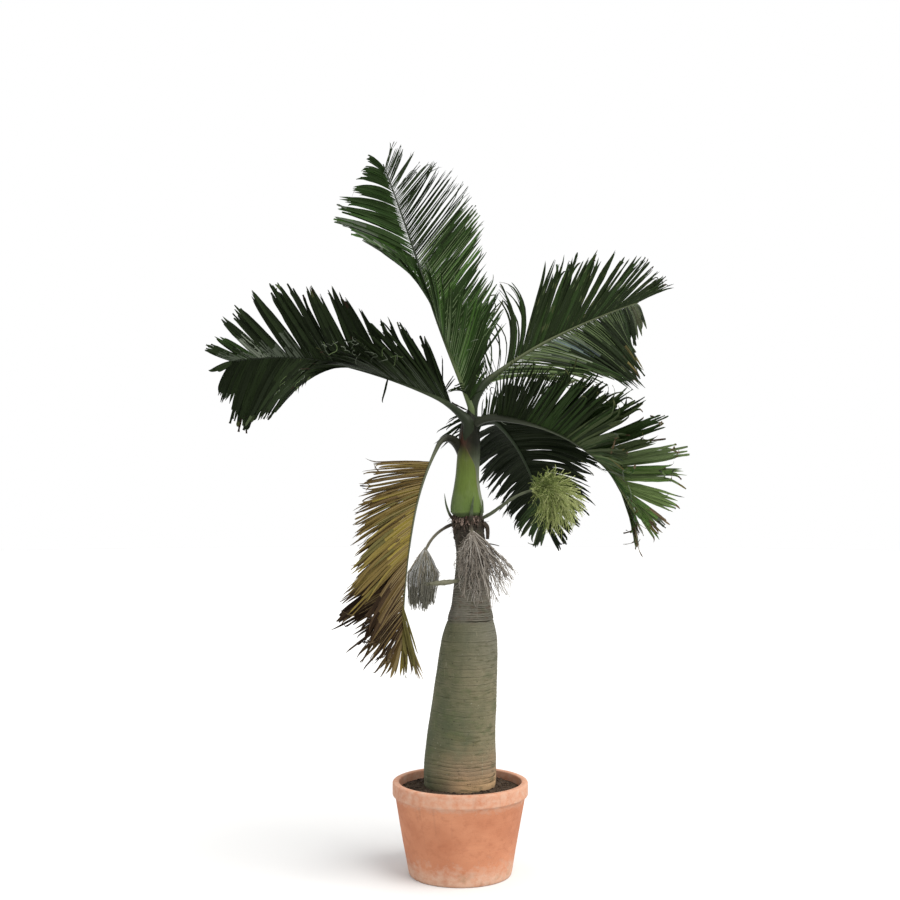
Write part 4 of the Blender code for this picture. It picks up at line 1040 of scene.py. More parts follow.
def row_of_leaflets(bunch, frond, look, rib, sign, rng):
    row = frond.right if sign > 0 else frond.left
    spans = look.right if sign > 0 else look.left
    count = look.pairs
    u = np.clip((np.arange(count) + 0.5 + rng.uniform(-0.18, 0.18, count)) / count, 0, 1)
    share = frond.bare + (0.985 - frond.bare) * u
    point, along, side, above = at(rib, share)
    fan = 1 - 0.4 * np.clip((u - 0.86) / 0.14, 0, 1)
    sweep = np.radians(np.interp(u, np.linspace(0, 1, len(row.sweep)), row.sweep) * fan + rng.normal(0, 1.2, count))[:, None]
    lift = np.radians(np.interp(u, np.linspace(0, 1, len(row.lift)), row.lift) + rng.normal(0, 2.5, count))[:, None]
    reach = np.interp(u, np.linspace(0, 1, len(row.reach)), row.reach)
    sag = np.interp(u, (0, 1), row.sag)
    out = np.cos(lift) * sign * side + np.sin(lift) * above
    direction = np.cos(sweep) * along + np.sin(sweep) * out
    reach = reach * (1.02 - 0.14 * rng.random(count) ** 2)

    # Neighbours cling together, their tips drawn in to one point
    tone = np.zeros(count, int)
    width = np.zeros(count)
    foot = np.zeros(count)
    blunt = np.zeros(count, bool)
    arch = np.zeros((count, 3))
    limp = np.ones(count)
    keep = np.ones(count, bool)
    other = np.zeros(count, int)
    ending = np.zeros(count, int)
    change = np.full(count, 2.0)
    calm = np.ones(count)
    target = direction.copy()
    first = 0
    while first < count:
        span = next(s for s in spans if u[first] < s.until)
        last = min(first + int(rng.integers(span.clump[0], span.clump[1] + 1)), count)
        pick = (first + last - 1) // 2
        tip = point[pick] + reach[pick] * direction[pick]
        group = slice(first, last)
        size = last - first
        middle = (np.arange(size) - (size - 1) / 2) / (size / 2)
        calm[group] = 0.35 if size >= 5 else 1.0
        reach[group] *= span.short * (1.03 - look.ragged * rng.random()) * (1 - (0.12 if size >= 5 else 0.03) * middle ** 2)
        if span.late:
            ending[group] = tone_index(span.late[0], rng, size)
            change[group] = span.late[1] * rng.uniform(0.5, 1.4, size)
        tone[group] = tone_index(span.tones, rng, size)
        if rng.random() < 0.35:
            tone[group] = tone[first]
        other[group] = np.where(rng.random(size) < 0.5, tone[group], tone_index(span.tones, rng, size))
        limp[group] = span.limp * rng.uniform(0.75, 1.1)
        keep[group] = rng.random() < span.keep
        width[group] = span.width * rng.uniform(0.85, 1.08, size)
        foot[group] = span.root
        arch[group] = np.array(span.arch) * rng.uniform(0.6, 1.3)
        blunt[group] = size > 1 and rng.random() < look.blunt
        ends = point[group] + reach[group, None] * direction[group]
        pull = span.pull * rng.uniform(0.8, 1.1, (size, 1)) * (1.0 if not blunt[first] else 0.6)
        target[group] = unit(ends + pull * (tip - ends) - point[group])
        first = last
    direction = target
    across = unit(along - direction * (along * direction).sum(-1, keepdims=True))
    width = width * np.interp(reach, (0.2, 0.5), (0.66, 1.0))
    vein = rng.random(count) < 0.75
    vein = np.where(vein, look.vein[1] * rng.uniform(0.5, 1.2, count), 0.0) * (width > 0.012)
    dried = (rng.random(count) < look.tip_share) & (change > 1)
    tip = np.where(change < 1, ending, tone)
    tip[dried] = tone_index(look.tips, rng, dried.sum())
    if look.inner:
        inner = dried & (u < 0.55)
        tip[inner] = tone_index(look.inner, rng, inner.sum())
    # Undersides take the look's darker under colours: painted shade under the leaflets.
    back = tone
    if look.under:
        back = tone_index(" ".join(look.under[:1] * 3 + look.under[1:]), rng, count)
    start = np.where(dried, rng.choice((0.87, 0.93, 0.93, 0.97), count), change)
    curled = look.hook * np.where(dried, rng.uniform(0.5, 1.5, count), 0.25 * calm)
    values = (point, direction, across, reach, sag * limp, width, tone, other, back, vein, tip, start,
              blunt | (curled > 0.016), foot, arch, curled, calm)
    (point, direction, across, reach, sag, width, tone, other, back, vein, tip, start, blunt, foot, arch,
     curled, calm) = [value[keep] for value in values]
    add_blades(bunch, point, direction, across, reach, sag, width, rng, fold=look.fold * sign,
               curl=look.curl * calm, wave=0.02 * calm, tone=tone, other=other, under=back, vein=LEAF_NAMES.index(look.vein[0]), vein_to=vein,
               tip=tip, tip_from=start, blunt=blunt, foot=foot, twist=14, arch=arch, hook=curled)


def rib_path(frond, look, rib, count=84):
    """The rib's line from inside the crownshaft, its sides and its half widths."""
    share = np.linspace(0, 1, count) ** 1.25
    point, along, side, above = at(rib, share)
    foot = point[0]
    turn = np.radians(look.seat[0])
    point = point + np.array(look.seat[2]) * np.exp(-(share[:, None] * frond.length / 0.13) ** 2)
    foot = point[0]
    low = foot[2] - 0.19
    start = np.array((stem_x(low) + look.seat[1] * np.cos(turn), look.seat[1] * np.sin(turn), low))
    hold = (start, start + (0, 0, 0.10), foot - 0.06 * along[0], foot)
    t = np.linspace(0, 0.94, 14)[:, None]
    base = (hold[0] * (1 - t) ** 3 + 3 * hold[1] * t * (1 - t) ** 2 + 3 * hold[2] * t * t * (1 - t) + hold[3] * t ** 3)
    path = np.vstack([base, point])
    flat = np.array((-np.sin(turn), np.cos(turn), 0.0))
    flat = flat if flat @ side[0] > 0 else -flat
    across = np.vstack([unit(flat * (1 - t) + side[:1] * t), side])
    bottom, neck, fade, power, stout = look.petiole
    thin = stout * frond.thick
    radius = thin * (1 - (1 - RIB_TIP_SHARE) * share ** 0.8)
    radius = radius + (neck - thin) * np.exp(-(share * frond.length / fade) ** power)
    radius = np.concatenate([np.linspace(bottom, radius[0] * 1.02, len(base)), radius])
    heel = np.concatenate([np.ones(len(base)), np.clip(1.5 - share * frond.length / fade, 0, 1)])
    return path, across, radius, heel


def make_frond(name):
    frond = FRONDS[name]
    look = LOOKS[name]
    rng = np.random.default_rng(look.seed)
    rib = rib_frame(frond)
    nodes = ("frond_" + name,) if frond.cut is None else ("frond_%s_inner" % name, "frond_%s_outer" % name)
    leaves = Bunch()
    for sign in (1, -1):
        row_of_leaflets(leaves, frond, look, rib, sign, rng)
    if name in STRAYS:
        add_strays(leaves, STRAYS[name], rng)
    if name in THREADS:
        add_threads(leaves, THREADS[name], rng)
    piece = leaves.build("leaflets_" + name, list(LEAF.values()), creases=LANES)
    put(piece, look.slot, *nodes)
    path, across, radius, heel = rib_path(frond, look, rib)
    tube = Bunch()
    add_tubes(tube, path[None], radius[None], 18, across=across[None], flat=0.78, heel=np.repeat(heel, 18),
              along=np.repeat(np.linspace(-0.16, 1, len(path)), 18))
    material = rib_material("rib_" + name, look.dark, look.light, look.heel, look.far)
    put(tube.build("rib_" + name, [material]), look.rib, *nodes)


# Stray leaflets in the crown's heart, by fans: how many, first and last root, first and last tip,
# width, sag and colours
STRAYS = {
    "left": (
        (9, (0.045, 0.040, 2.53), (0.035, 0.030, 2.40), (-0.075, 0.055, 2.50), (-0.085, 0.050, 2.350), 0.010, 0.20,
         "black_green dark_green"),
        (5, (0.030, 0.050, 2.48), (0.020, 0.045, 2.44), (-0.110, 0.060, 2.44), (-0.155, 0.065, 2.335), 0.010, 0.30,
         "black_green dark_green"),
        (1, (0.050, 0.030, 2.52), (0.050, 0.030, 2.52), (-0.085, 0.020, 2.585), (-0.085, 0.020, 2.585), 0.010, 0.02,
         "dark_brown"),
        (2, (-0.096, 0.050, 2.590), (-0.092, 0.050, 2.595), (-0.098, 0.060, 2.855), (-0.096, 0.055, 2.800), 0.015,
         0.0, "dark_brown black_green"),
        (2, (-0.098, 0.045, 2.600), (-0.090, 0.045, 2.640), (-0.022, 0.035, 2.725), (-0.028, 0.035, 2.735), 0.010,
         0.10, "black_green dark_green"),
        (2, (-0.405, 0.070, 2.700), (-0.400, 0.070, 2.700), (-0.432, 0.050, 2.570), (-0.428, 0.055, 2.580), 0.015,
         0.0, "black_green"),
        (4, (-1.316, 0.300, 2.822), (-1.306, 0.300, 2.815), (-1.420, 0.280, 2.775), (-1.400, 0.280, 2.745), 0.030,
         0.0, "black_green dark_green"),
        (3, (-0.920, 0.220, 2.830), (-0.820, 0.200, 2.820), (-0.955, 0.150, 2.620), (-0.850, 0.150, 2.670), 0.009,
         0.0, "olive_green dark_green"),
    ),
    "top": (
        (1, (0.022, -0.045, 2.625), (0.022, -0.045, 2.625), (0.054, -0.055, 2.678), (0.054, -0.055, 2.678), 0.006, 0.25,
         "grey_green"),
        (18, (0.058, -0.014, 2.575), (0.022, -0.016, 2.655), (0.125, -0.080, 2.750), (0.160, -0.100, 2.960), 0.017,
         0.0, "dark_green deep_green dark_green"),
        (5, (0.045, -0.010, 2.600), (0.010, -0.020, 2.680), (-0.065, -0.030, 2.680), (-0.050, -0.040, 2.640), 0.011,
         0.35, "black_green dark_green"),
        (3, (0.055, -0.015, 2.575), (0.060, -0.015, 2.600), (0.110, -0.060, 2.680), (0.140, -0.060, 2.655), 0.008,
         0.25, "deep_green dark_green"),
    ),
    "right": (
        (6, (0.110, -0.030, 2.450), (0.150, -0.070, 2.465), (0.120, -0.060, 2.560), (0.165, -0.110, 2.640), 0.009,
         0.0, "black_green dark_green dark_green"),
        (16, (0.150, -0.060, 2.460), (0.260, -0.110, 2.470), (0.190, -0.120, 2.640), (0.330, -0.150, 2.700), 0.015,
         0.0, "black_green dark_green dark_green"),
        (3, (0.170, -0.060, 2.470), (0.200, -0.085, 2.470), (0.205, -0.120, 2.700), (0.230, -0.130, 2.740), 0.009,
         0.0, "sheen grey_green"),
    ),
    "old": (
        (16, (-0.308, -0.325, 1.470), (-0.302, -0.330, 1.300), (-0.600, -0.340, 1.250), (-0.430, -0.340, 1.090),
         0.013, 0.0, "brown dark_brown umber brown dry_brown"),
        (7, (-0.296, -0.330, 1.400), (-0.294, -0.335, 1.310), (-0.285, -0.350, 1.130), (-0.310, -0.350, 1.060),
         0.022, 0.0, "olive yellow deep_ochre olive"),
        (26, (-0.330, -0.325, 1.570), (-0.290, -0.335, 1.300), (-0.225, -0.345, 1.180), (-0.215, -0.345, 1.070),
         0.011, 0.0, "dry_brown olive umber dry_tan olive straw brown"),
        (4, (-0.300, -0.330, 1.350), (-0.298, -0.335, 1.310), (-0.385, -0.345, 1.120), (-0.350, -0.345, 1.095),
         0.020, 0.0, "ochre deep_ochre straw"),
    ),
    "upright": (
        (12, (0.120, 0.030, 2.600), (0.215, 0.070, 2.715), (0.080, 0.020, 2.760), (0.140, 0.050, 2.940), 0.006,
         -0.06, "dark_green grey_green deep_green"),
    ),
}


# Threads by spots: how many, from which x and z to which, the way they hang and how far that varies
THREADS = {
    "left": ((20, (-0.730, 2.820), (-0.530, 2.890), (-0.6, -0.5, 0.1), 0.5),
             (13, (-0.470, 2.760), (-0.290, 2.820), (-0.6, -0.5, 0.1), 0.5),
             (14, (-1.000, 2.640), (-0.830, 2.770), (-0.7, -0.3, -0.9), 0.18)),
    "right": ((6, (0.560, 1.950), (0.850, 2.350), (0.0, -0.5, -0.5), 0.7),),
    "top": ((6, (-0.050, 2.700), (0.120, 2.950), (0.0, -0.5, -0.5), 0.7),),
}


def add_threads(bunch, spots, rng):
    """Pale curled threads torn off the leaflets, each from the nearest leaflet towards -Y."""
    points = np.concatenate(bunch.points)
    for count, low, high, lean, spread in spots:
        spot = rng.uniform(low, high, (count, 2))
        apart = np.hypot(points[:, 0] - spot[:, :1], points[:, 2] - spot[:, 1:])
        root = points[np.where(apart < 0.02, points[:, 1], 9.0).argmin(axis=1)]
        path = np.array(lean) + rng.normal(0, spread, (count, 3))
        t = np.linspace(0, 1, 11)[None, :, None]
        path = root[:, None] + unit(path)[:, None] * rng.uniform(0.025, 0.075, (count, 1, 1)) * t
        path = wiggle(path, 0.012, 1.6, 31)
        add_tubes(bunch, path, 0.0017 * np.linspace(1, 0.5, 11)[None] + 0 * spot[:, :1], 4,
                  tone_index("sheen pale_green grey_green sheen", rng, count))


def add_strays(bunch, fans, rng):
    for count, root_a, root_b, tip_a, tip_b, width, sag, tones in fans:
        s = np.clip((np.arange(count) + 0.5) / count + rng.normal(0, 0.25 / count, count), 0, 1)[:, None]
        root = np.array(root_a) * (1 - s) + np.array(root_b) * s
        path = np.array(tip_a) * (1 - s) + np.array(tip_b) * s - root
        path = path * rng.uniform(0.75, 1.1, (count, 1)) + rng.normal(0, 0.012, (count, 3)) * (count > 2)
        reach = np.linalg.norm(path, axis=1)
        direction = unit(path)
        across = unit(np.cross(direction, (0.15, -1.0, 0.2)))
        tone = tone_index(tones, rng, count)
        add_blades(bunch, root, direction, across, reach, sag * rng.uniform(0.5, 1.3, count),
                   width * rng.uniform(0.8, 1.2, count), rng, curl=0.08, tone=tone, under=tone, vein=tone, foot=0.6,
                   hook=0.006)


# Flower and fruit sprays

Spray = namedtuple("Spray", "stalk stalk_radii core")
SPRAYS = {
    "green": Spray(
        stalk=((0.06, 0.0, 1.912), (0.105, 0.0, 1.922), (0.16, -0.012, 1.949), (0.242, -0.035, 2.007),
               (0.32, -0.05, 2.056), (0.40, -0.05, 2.086)),
        stalk_radii=(0.014, 0.013, 0.012, 0.011, 0.010, 0.009),
        core=(((0.43, -0.05, 2.09), 0.009, 0.009), ((0.45, -0.05, 2.09), 0.045, 0.045),
              ((0.49, -0.05, 2.075), 0.085, 0.075), ((0.545, -0.05, 2.04), 0.11, 0.085),
              ((0.60, -0.05, 2.01), 0.085, 0.07), ((0.635, -0.05, 1.99), 0.03, 0.03)),
    ),
    "grey_left": Spray(
        stalk=((0.02, 0.020, 1.906), (-0.033, 0.036, 1.897), (-0.082, 0.036, 1.875), (-0.132, 0.028, 1.838),
               (-0.168, 0.020, 1.794), (-0.190, 0.014, 1.750)),
        stalk_radii=(0.010, 0.0095, 0.009, 0.0085, 0.008, 0.007),
        core=(((-0.193, 0.012, 1.735), 0.008, 0.008), ((-0.197, 0.012, 1.715), 0.028, 0.026),
              ((-0.204, 0.012, 1.66), 0.056, 0.050), ((-0.208, 0.012, 1.58), 0.066, 0.060),
              ((-0.206, 0.012, 1.50), 0.054, 0.050), ((-0.203, 0.012, 1.465), 0.026, 0.024)),
    ),
    "grey_front": Spray(
        stalk=((0.055, -0.04, 1.895), (0.057, -0.082, 1.888), (0.060, -0.104, 1.872), (0.063, -0.112, 1.850)),
        stalk_radii=(0.012, 0.012, 0.011, 0.010),
        core=(((0.065, -0.115, 1.833), 0.010, 0.010), ((0.070, -0.122, 1.812), 0.026, 0.017),
              ((0.092, -0.140, 1.740), 0.060, 0.030), ((0.120, -0.156, 1.650), 0.088, 0.038),
              ((0.135, -0.166, 1.560), 0.086, 0.036), ((0.140, -0.166, 1.505), 0.040, 0.022)),
    ),
}


def push_off(path, room):
    """Moves points that would sink into the trunk out of it."""
    away = path[..., :2] - np.stack([stem_x(path[..., 2]), 0 * path[..., 2]], -1)
    far = np.linalg.norm(away, axis=-1, keepdims=True)
    solid = np.interp(path[..., 2], *zip(*TRUNK_PROFILE))[..., None] + room
    path[..., :2] += away / far * np.maximum(solid - far, 0)
    return path


def wiggle(path, size, pace, seed):
    """Small bends along each path, none at its start."""
    count, steps = path.shape[:2]
    t = np.linspace(0, 1, steps)[None] + np.zeros((count, 1))
    spot = np.stack([t * pace, np.arange(count)[:, None] * 3.7 + 0 * t, 0 * t], -1) + 60
    bends = np.stack([value_noise(spot, seed + k) for k in range(3)], -1)
    return path + bends * (size * np.minimum(t * 4, 1))[..., None]


def add_forked(bunch, path, radii, forks, length, rng, stuff, room=None):
    """Strands and their short side twigs."""
    count, steps = path.shape[:2]
    add_tubes(bunch, path, radii, 5, stuff)
    twigs = count * forks
    mother = rng.integers(0, count, twigs)
    place = rng.integers(steps // 3, steps - 2, twigs)
    base = path[mother, place]
    heading = unit(path[mother, place + 1] - base)
    kick = unit(heading + rng.normal(0, 0.34, (twigs, 3)) * (1, 0.6, 0.5))
    s = np.linspace(0, 1, 7)[None, :, None]
    twig = base[:, None] + kick[:, None] * rng.uniform(*length, (twigs, 1, 1)) * s
    twig = wiggle(twig, 0.004, 3.0, 77)
    if room is not None:
        twig = push_off(twig, room)
    add_tubes(bunch, twig, radii[mother, place][:, None] * np.linspace(0.8, 0.45, 7), 4, stuff[mother])


def grey_material(name, colour, pale):
    g = Graph(name)
    grain = g.noise(g.stretch((150.0, 150.0, 150.0)), detail=3.0)
    colour = g.blend(g.between(grain, 0.3, 0.7), colour, pale)
    return g.done(colour, 0.85, g.bump(grain, 0.0006, 0.6), 0.2)


def make_stalks():
    bunch = Bunch()
    for name in ("grey_left", "grey_front"):
        spray = SPRAYS[name]
        path = smooth_path(spray.stalk, 34)
        radii = np.interp(np.linspace(0, 1, 34), np.linspace(0, 1, len(spray.stalk_radii)), spray.stalk_radii)
        rough = 1 + 0.09 * value_noise(path * 60 + 30, 4)
        add_tubes(bunch, path[None], (radii * rough)[None], 14)
    material = stalk_material("stalk_dry", (0.120, 0.108, 0.070), (0.235, 0.220, 0.160), burnt=(1.845, 1.890))
    put(bunch.build("stalks_dry", [material]), "stalk_dry", "spray_grey_left_stalk", "spray_grey_front_stalk")

    bunch = Bunch()
    spray = SPRAYS["green"]
    path = smooth_path(spray.stalk, 44)
    radii = 0.78 * np.interp(np.linspace(0, 1, 44), np.linspace(0, 1, 6), spray.stalk_radii)
    bead = 1 + 0.10 * value_noise(path * 75 + 30, 5) + 0.10 * np.exp(-((np.linspace(0, 1, 44) % 0.25 - 0.1) / 0.02) ** 2)
    add_tubes(bunch, path[None], (radii * bead)[None], 14)
    material = stalk_material("stalk_green", (0.040, 0.050, 0.026), (0.110, 0.122, 0.072))
    put(bunch.build("stalk_flower", [material]), "stalk_green", "spray_green_stalk")


OLD_STALK = ((0.020, -0.045, 1.600), (-0.030, -0.098, 1.590), (-0.100, -0.122, 1.583), (-0.165, -0.130, 1.578))
OLD_STALK_RADII = (0.011, 0.011, 0.015, 0.009)


def make_old_stalk():
    rng = np.random.default_rng(15)
    path = smooth_path(OLD_STALK, 40)
    t = np.linspace(0, 1, 40)
    radii = ease(t, np.linspace(0, 1, 4), OLD_STALK_RADII)
    radii = radii * (1 + 0.10 * value_noise(path * 55 + 30, 6)) + 0.0016 * np.exp(-((t - 0.62) / 0.02) ** 2)
    bunch = Bunch()
    add_tubes(bunch, path[None], radii[None], 14)
    count = 26
    base = path[-1] + rng.normal(0, 0.003, (count, 3))
    head = unit(np.array((-0.9, -0.1, -0.12)) + rng.normal(0, 0.30, (count, 3)))
    s = np.linspace(0, 1, 6)[None, :, None]
    side = base[:, None] + head[:, None] * rng.uniform(0.008, 0.030, (count, 1, 1)) * s
    add_tubes(bunch, side, 0.0016 * np.linspace(1, 0.4, 6)[None] + 0 * base[:, :1], 4)
    material = stalk_material("stalk_old", (0.115, 0.112, 0.068), (0.205, 0.200, 0.140))
    put(bunch.build("stalk_old_bare", [material]), "stalk_dry", "old_stalk")


def make_grey_left():
    """A lantern of dry strands: a pale net out from the stalk's end, darker strands hanging below it."""
    rng = np.random.default_rng(41)
    count = 430
    net = np.arange(count) >= 190
    turn = rng.uniform(0, 2 * np.pi, count)
    far = np.where(net, rng.uniform(0.30, 1.04, count) ** 0.5, np.sqrt(rng.random(count)) * 0.94)
    hem = 0.93 + 0.09 * value_noise(np.stack([2.2 * np.cos(turn), 2.2 * np.sin(turn), 0 * turn], -1) + 9, 3)
    drop = 0.338 * np.where(net, rng.uniform(0.36, 0.66, count), hem - 0.10 * rng.random(count) ** 3)
    t = np.linspace(0, 1, 14)[None]
    down = drop[:, None] * t
    spread = np.clip(down / 0.140, 0, 1) ** 0.9 * (1 - 0.20 * np.clip((down - 0.20) / 0.14, 0, 1) ** 1.5)
    x = far[:, None] * np.cos(turn)[:, None] * 0.089 * spread - 0.024 * np.clip(down / 0.3, 0, 1)
    y = far[:, None] * np.sin(turn)[:, None] * 0.060 * spread
    path = np.stack([x - 0.191, y + 0.013, 1.768 - down * 1.03], -1)
    path = wiggle(path, 0.006, 6.0, 5)
    bunch = Bunch()
    thick = np.where(net, 0.0013, 0.0021)[:, None]
    radii = thick * rng.uniform(0.7, 1.25, (count, 1)) * (1.25 - 0.45 * t)
    tones = np.where(net, rng.choice((1, 2, 2), count), 0)
    add_forked(bunch, path, radii, 2, (0.012, 0.040), rng, tones)
    low = grey_material("strand_low", (0.120, 0.116, 0.088), (0.225, 0.218, 0.180))
    tan = grey_material("strand_tan", (0.250, 0.220, 0.165), (0.350, 0.315, 0.250))
    pale = grey_material("strand_pale", (0.340, 0.342, 0.330), (0.520, 0.520, 0.510))
    put(bunch.build("strands_grey_left", [low, tan, pale]), "strand_grey", "spray_grey_left")


FAN = ((-36, 0.120), (-24, 0.230), (-12, 0.330), (0, 0.390), (15, 0.415), (24, 0.400), (38, 0.365), (50, 0.345))


def make_grey_front():
    """A broad open fan of dry kinked cords in front of the trunk."""
    rng = np.random.default_rng(42)
    count = 120
    angle = 50 - 86 * np.linspace(0, 1, count) ** 1.15 + rng.normal(0, 1.5, count)
    length = np.interp(angle, *zip(*FAN)) * (1 - 0.42 * rng.random(count) ** 1.3)
    t = np.linspace(0, 1, 25)[None]
    lean = np.radians(angle[:, None] * (1.10 - 0.30 * t) + rng.normal(0, 2.5, (count, 1)))
    deep = rng.uniform(-0.22, 0.02, (count, 1)) * (1 - 0.4 * t)
    step = np.stack([np.sin(lean), deep, -np.cos(lean)], -1) * (length / 24)[:, None, None]
    start = np.array((0.066, -0.113, 1.852)) + rng.normal(0, 1, (count, 3)) * (0.006, 0.003, 0.006)
    path = start[:, None] + np.concatenate([np.zeros((count, 1, 3)), np.cumsum(step[:, 1:], axis=1)], axis=1)
    path = wiggle(wiggle(path, 0.012, 5.0, 8), 0.005, 13.0, 12)
    path = push_off(path, 0.007)
    bunch = Bunch()
    radii = 0.0023 * rng.uniform(0.7, 1.25, (count, 1)) * (1.25 - 0.6 * t)
    add_forked(bunch, path, radii, 6, (0.018, 0.060), rng, rng.integers(0, 3, count), room=0.006)
    tones = [grey_material("cord_dark", (0.115, 0.098, 0.080), (0.200, 0.175, 0.145)),
             grey_material("cord", (0.180, 0.155, 0.128), (0.280, 0.250, 0.215)),
             grey_material("cord_pale", (0.250, 0.225, 0.195), (0.400, 0.370, 0.330))]
    put(bunch.build("strands_grey_front", tones), "strand_grey", "spray_grey_front")


def make_green_spray():
    """A brush of flower strands set with small buds, open to the right and below."""
    rng = np.random.default_rng(43)
    count = 460
    apex = np.array((0.392, -0.048, 2.086))
    middle = np.array((0.520, -0.050, 2.040))
    ball = unit(rng.normal(0, 1, (count * 3, 3)))
    ball = ball[ball[:, 0] > -0.80][:count]
    end = middle + ball * (0.178, 0.130, 0.186) * (0.50 + 0.55 * rng.random((count, 1)) ** 0.5)
    end[:, 2] -= 0.020
    root = apex + (middle - apex) * rng.random((count, 1)) ** 1.6 * 0.85 + rng.normal(0, 0.004, (count, 3))
    reach = np.linalg.norm(end - root, axis=1)[:, None]
    bow = root + unit((end - root) + (0.12, 0, 0.07)) * reach * 0.58 + (0, 0, 0.012)
    t = np.linspace(0, 1, 13)[None, :, None]
    path = root[:, None] * (1 - t) ** 2 + 2 * bow[:, None] * t * (1 - t) + end[:, None] * t ** 2
    path = wiggle(path, 0.008, 5.0, 9)
    glow = np.clip(0.5 + 2.6 * (end[:, 0] - middle[0]) + 1.2 * (middle[2] - end[:, 2]) + rng.normal(0, 0.35, count), 0, 1)
    tone = (glow * 2.999).astype(int)
    strands = Bunch()
    radii = 0.0017 * (1.3 - 0.6 * t[..., 0]) + 0 * path[..., 0]
    add_tubes(strands, path, radii, 5, tone)
    drops = 50
    base = path[rng.choice(np.flatnonzero((end[:, 2] < 2.0)), drops), 10]
    s = np.linspace(0, 1, 13)[None, :, None]
    fall = unit(np.array((0.10, 0, -1.0)) + rng.normal(0, 0.25, (drops, 3)))
    hang = wiggle(base[:, None] + fall[:, None] * rng.uniform(0.02, 0.09, (drops, 1, 1)) * s, 0.006, 4.0, 10)
    add_tubes(strands, hang, 0.0017 * np.linspace(1, 0.5, 13)[None] + 0 * base[:, :1], 5, 1)
    core = smooth_path((apex - (0.012, 0, -0.003), apex, (apex + middle) / 2 + (0, 0, 0.004), middle), 16)
    add_tubes(strands, core[None], np.linspace(0.009, 0.003, 16)[None], 10)
    tones = (grey_material("flower_a", (0.074, 0.104, 0.024), (0.140, 0.176, 0.048)),
             grey_material("flower_b", (0.165, 0.205, 0.056), (0.270, 0.310, 0.105)),
             grey_material("flower_c", (0.270, 0.305, 0.110), (0.420, 0.450, 0.200)))
    put(strands.build("strands_green", list(tones)), "strand_green", "spray_green")
    buds = Bunch()
    for step in range(4, 13):
        pick = rng.random(count) < 0.85
        line = path[pick]
        spot = line[:, step] + (line[:, step - 1] - line[:, step]) * rng.random((len(line), 1))
        size = rng.uniform(0.0016, 0.0030, (len(line), 1)) * (1.0, 1.0, 1.25)
        add_balls(buds, spot + rng.normal(0, 0.0026, spot.shape), size, rng, 0.12, np.repeat(tone[pick], 20))
    put(buds.build("buds_green", list(tones)), "strand_green", "spray_green")


# Pointed spathes round the scar

SPATHE_RADIUS = 0.0085
SPATHES = {
    "left": ((-0.005, 0.0, 1.895), (-0.050, -0.004, 1.938), (-0.074, -0.008, 1.995), (-0.086, -0.010, 2.065)),
    "front": ((0.052, -0.045, 1.895), (0.058, -0.092, 1.935), (0.063, -0.107, 1.985), (0.073, -0.100, 2.050)),
    "right": ((0.080, -0.028, 1.895), (0.112, -0.052, 1.938), (0.122, -0.064, 1.985), (0.124, -0.060, 2.032)),
}


def make_spathes():
    material = stalk_material("spathe_green", (0.030, 0.046, 0.018), (0.085, 0.112, 0.052), 70.0, (1.962, 1.945))
    for name, points in SPATHES.items():
        path = smooth_path(points, 40)
        t = np.linspace(0, 1, 40)
        radii = SPATHE_RADIUS * np.interp(t, (0, 0.3, 0.5, 0.72, 0.9, 1), (1.4, 1.45, 1.2, 0.85, 0.45, 0.08))
        radii = radii * (1 + 0.05 * value_noise(path * 50 + 30, 7))
        bunch = Bunch()
        outward = path - np.stack([stem_x(path[:, 2]), 0 * t, path[:, 2]], -1)
        add_tubes(bunch, path[None], radii[None], 14, across=np.cross(outward, (0, 0, 1))[None], flat=0.66)
        put(bunch.build("spathe_%s_skin" % name, [material]), "stalk_green", "spathe_" + name)


# Fibres and torn sheath left at the scar, a strap and stray threads

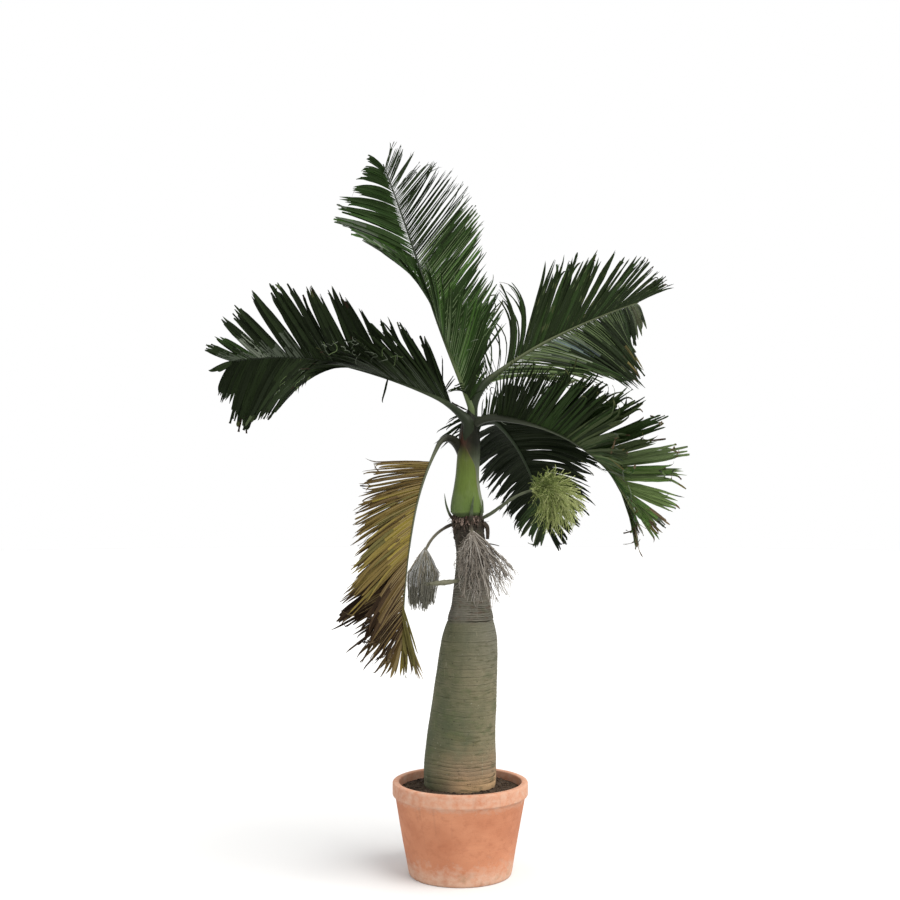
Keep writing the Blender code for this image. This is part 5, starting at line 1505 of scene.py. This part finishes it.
def make_fibres():
    rng = np.random.default_rng(51)
    bunch = Bunch()
    count = 380
    turn = rng.uniform(0, 2 * np.pi, count)
    z = rng.uniform(1.885, 1.948, count)
    radius = np.interp(z, (1.89, 1.938, 1.95), (0.076, 0.076, 0.086))
    base = np.stack([stem_x(z) + radius * np.cos(turn), radius * np.sin(turn), z], -1)
    out = np.stack([np.cos(turn), np.sin(turn), 0 * turn], -1)
    length = 0.010 + 0.045 * rng.random(count) ** 2
    s = np.linspace(0, 1, 8)[None, :, None]
    lean = unit(out * rng.uniform(0.1, 0.7, (count, 1)) + rng.normal(0, 0.35, (count, 3)) - (0, 0, 0.9))
    path = base[:, None] + lean[:, None] * length[:, None, None] * s
    path = path + rng.normal(0, 0.006, (count, 1, 3)) * s ** 2
    away = path[..., :2] - np.stack([stem_x(path[..., 2]), 0 * path[..., 2]], -1)
    far = np.linalg.norm(away, axis=-1, keepdims=True)
    path[..., :2] += away / far * np.maximum(0.0795 - far, 0)
    add_tubes(bunch, path, rng.uniform(0.0006, 0.0016, (count, 1)) * np.linspace(1, 0.4, 8), 4,
              rng.choice((0, 1, 1, 1, 2), count))
    flaps = 26
    turn = np.where(rng.random(flaps) < 0.5, rng.normal(-1.75, 0.5, flaps), rng.uniform(0, 2 * np.pi, flaps))
    out = np.stack([np.cos(turn), np.sin(turn), 0 * turn], -1)
    side = np.stack([-np.sin(turn), np.cos(turn), 0 * turn], -1)
    z = rng.uniform(1.925, 1.950, flaps)
    root = np.stack([stem_x(z), 0 * z, z], -1) + out * 0.0765
    down = unit(out * rng.uniform(0.02, 0.35, (flaps, 1)) - (0, 0, 1.0) + side * rng.normal(0, 0.3, (flaps, 1)))
    across = unit(side - down * (side * down).sum(-1, keepdims=True))
    add_blades(bunch, root, down, across, rng.uniform(0.014, 0.048, flaps), 0.0, rng.uniform(0.012, 0.030, flaps), rng,
               fold=12, curl=0.15, tone=rng.choice((0, 1, 2, 2), flaps), under=1, vein=1, blunt=True)
    clods = 110
    turn = np.where(rng.random(clods) < 0.5, rng.normal(np.pi, 0.30, clods), rng.uniform(0, 2 * np.pi, clods))
    z = rng.uniform(1.815, 1.925, clods)
    size = rng.uniform(0.004, 0.013, (clods, 1)) * rng.uniform((0.7, 0.7, 1.0), (1.2, 1.2, 2.2), (clods, 3))
    centre = np.stack([stem_x(z) + 0.080 * np.cos(turn), 0.080 * np.sin(turn), z], -1)
    add_balls(bunch, centre, size, rng, 0.3, 1)
    materials = [grey_material("fibre_red", (0.050, 0.027, 0.019), (0.105, 0.060, 0.042)),
                 grey_material("fibre_brown", (0.024, 0.018, 0.013), (0.062, 0.046, 0.034)),
                 grey_material("fibre_pale", (0.130, 0.088, 0.068), (0.290, 0.215, 0.180))]
    put(bunch.build("scar_fibres", materials), "stalk_dry", "trunk")

    straps = Bunch()
    path = smooth_path(((0.128, -0.030, 1.905), (0.146, -0.036, 1.885), (0.151, -0.036, 1.855), (0.150, -0.034, 1.815)), 16)
    add_tubes(straps, path[None], np.linspace(0.014, 0.009, 16)[None], 8,
              across=np.broadcast_to((1.0, 0.2, 0.0), (1, 16, 3)), flat=0.35)
    path = smooth_path(((0.130, -0.05, 1.782), (0.155, -0.055, 1.790), (0.185, -0.058, 1.786), (0.213, -0.06, 1.779)), 14)
    add_tubes(straps, path[None], np.linspace(0.0045, 0.0022, 14)[None], 6)
    put(straps.build("scar_straps", [materials[1]]), "stalk_dry", "trunk")


make_pot()
make_soil()
make_trunk()
make_shaft()
make_spathes()
make_fibres()
make_stalks()
make_old_stalk()
make_grey_left()
make_grey_front()
make_green_spray()
for frond_name in FRONDS:
    make_frond(frond_name)

floor_mesh = bpy.data.meshes.new("floor")
turns = np.arange(96) * 2 * np.pi / 96
floor_mesh.from_pydata([(40 * math.cos(a), 40 * math.sin(a), 0.0) for a in turns], [], [tuple(range(96))])
floor = bpy.data.objects.new("floor", floor_mesh)
floor_mesh.materials.append(floor_material())
scene.collection.objects.link(floor)
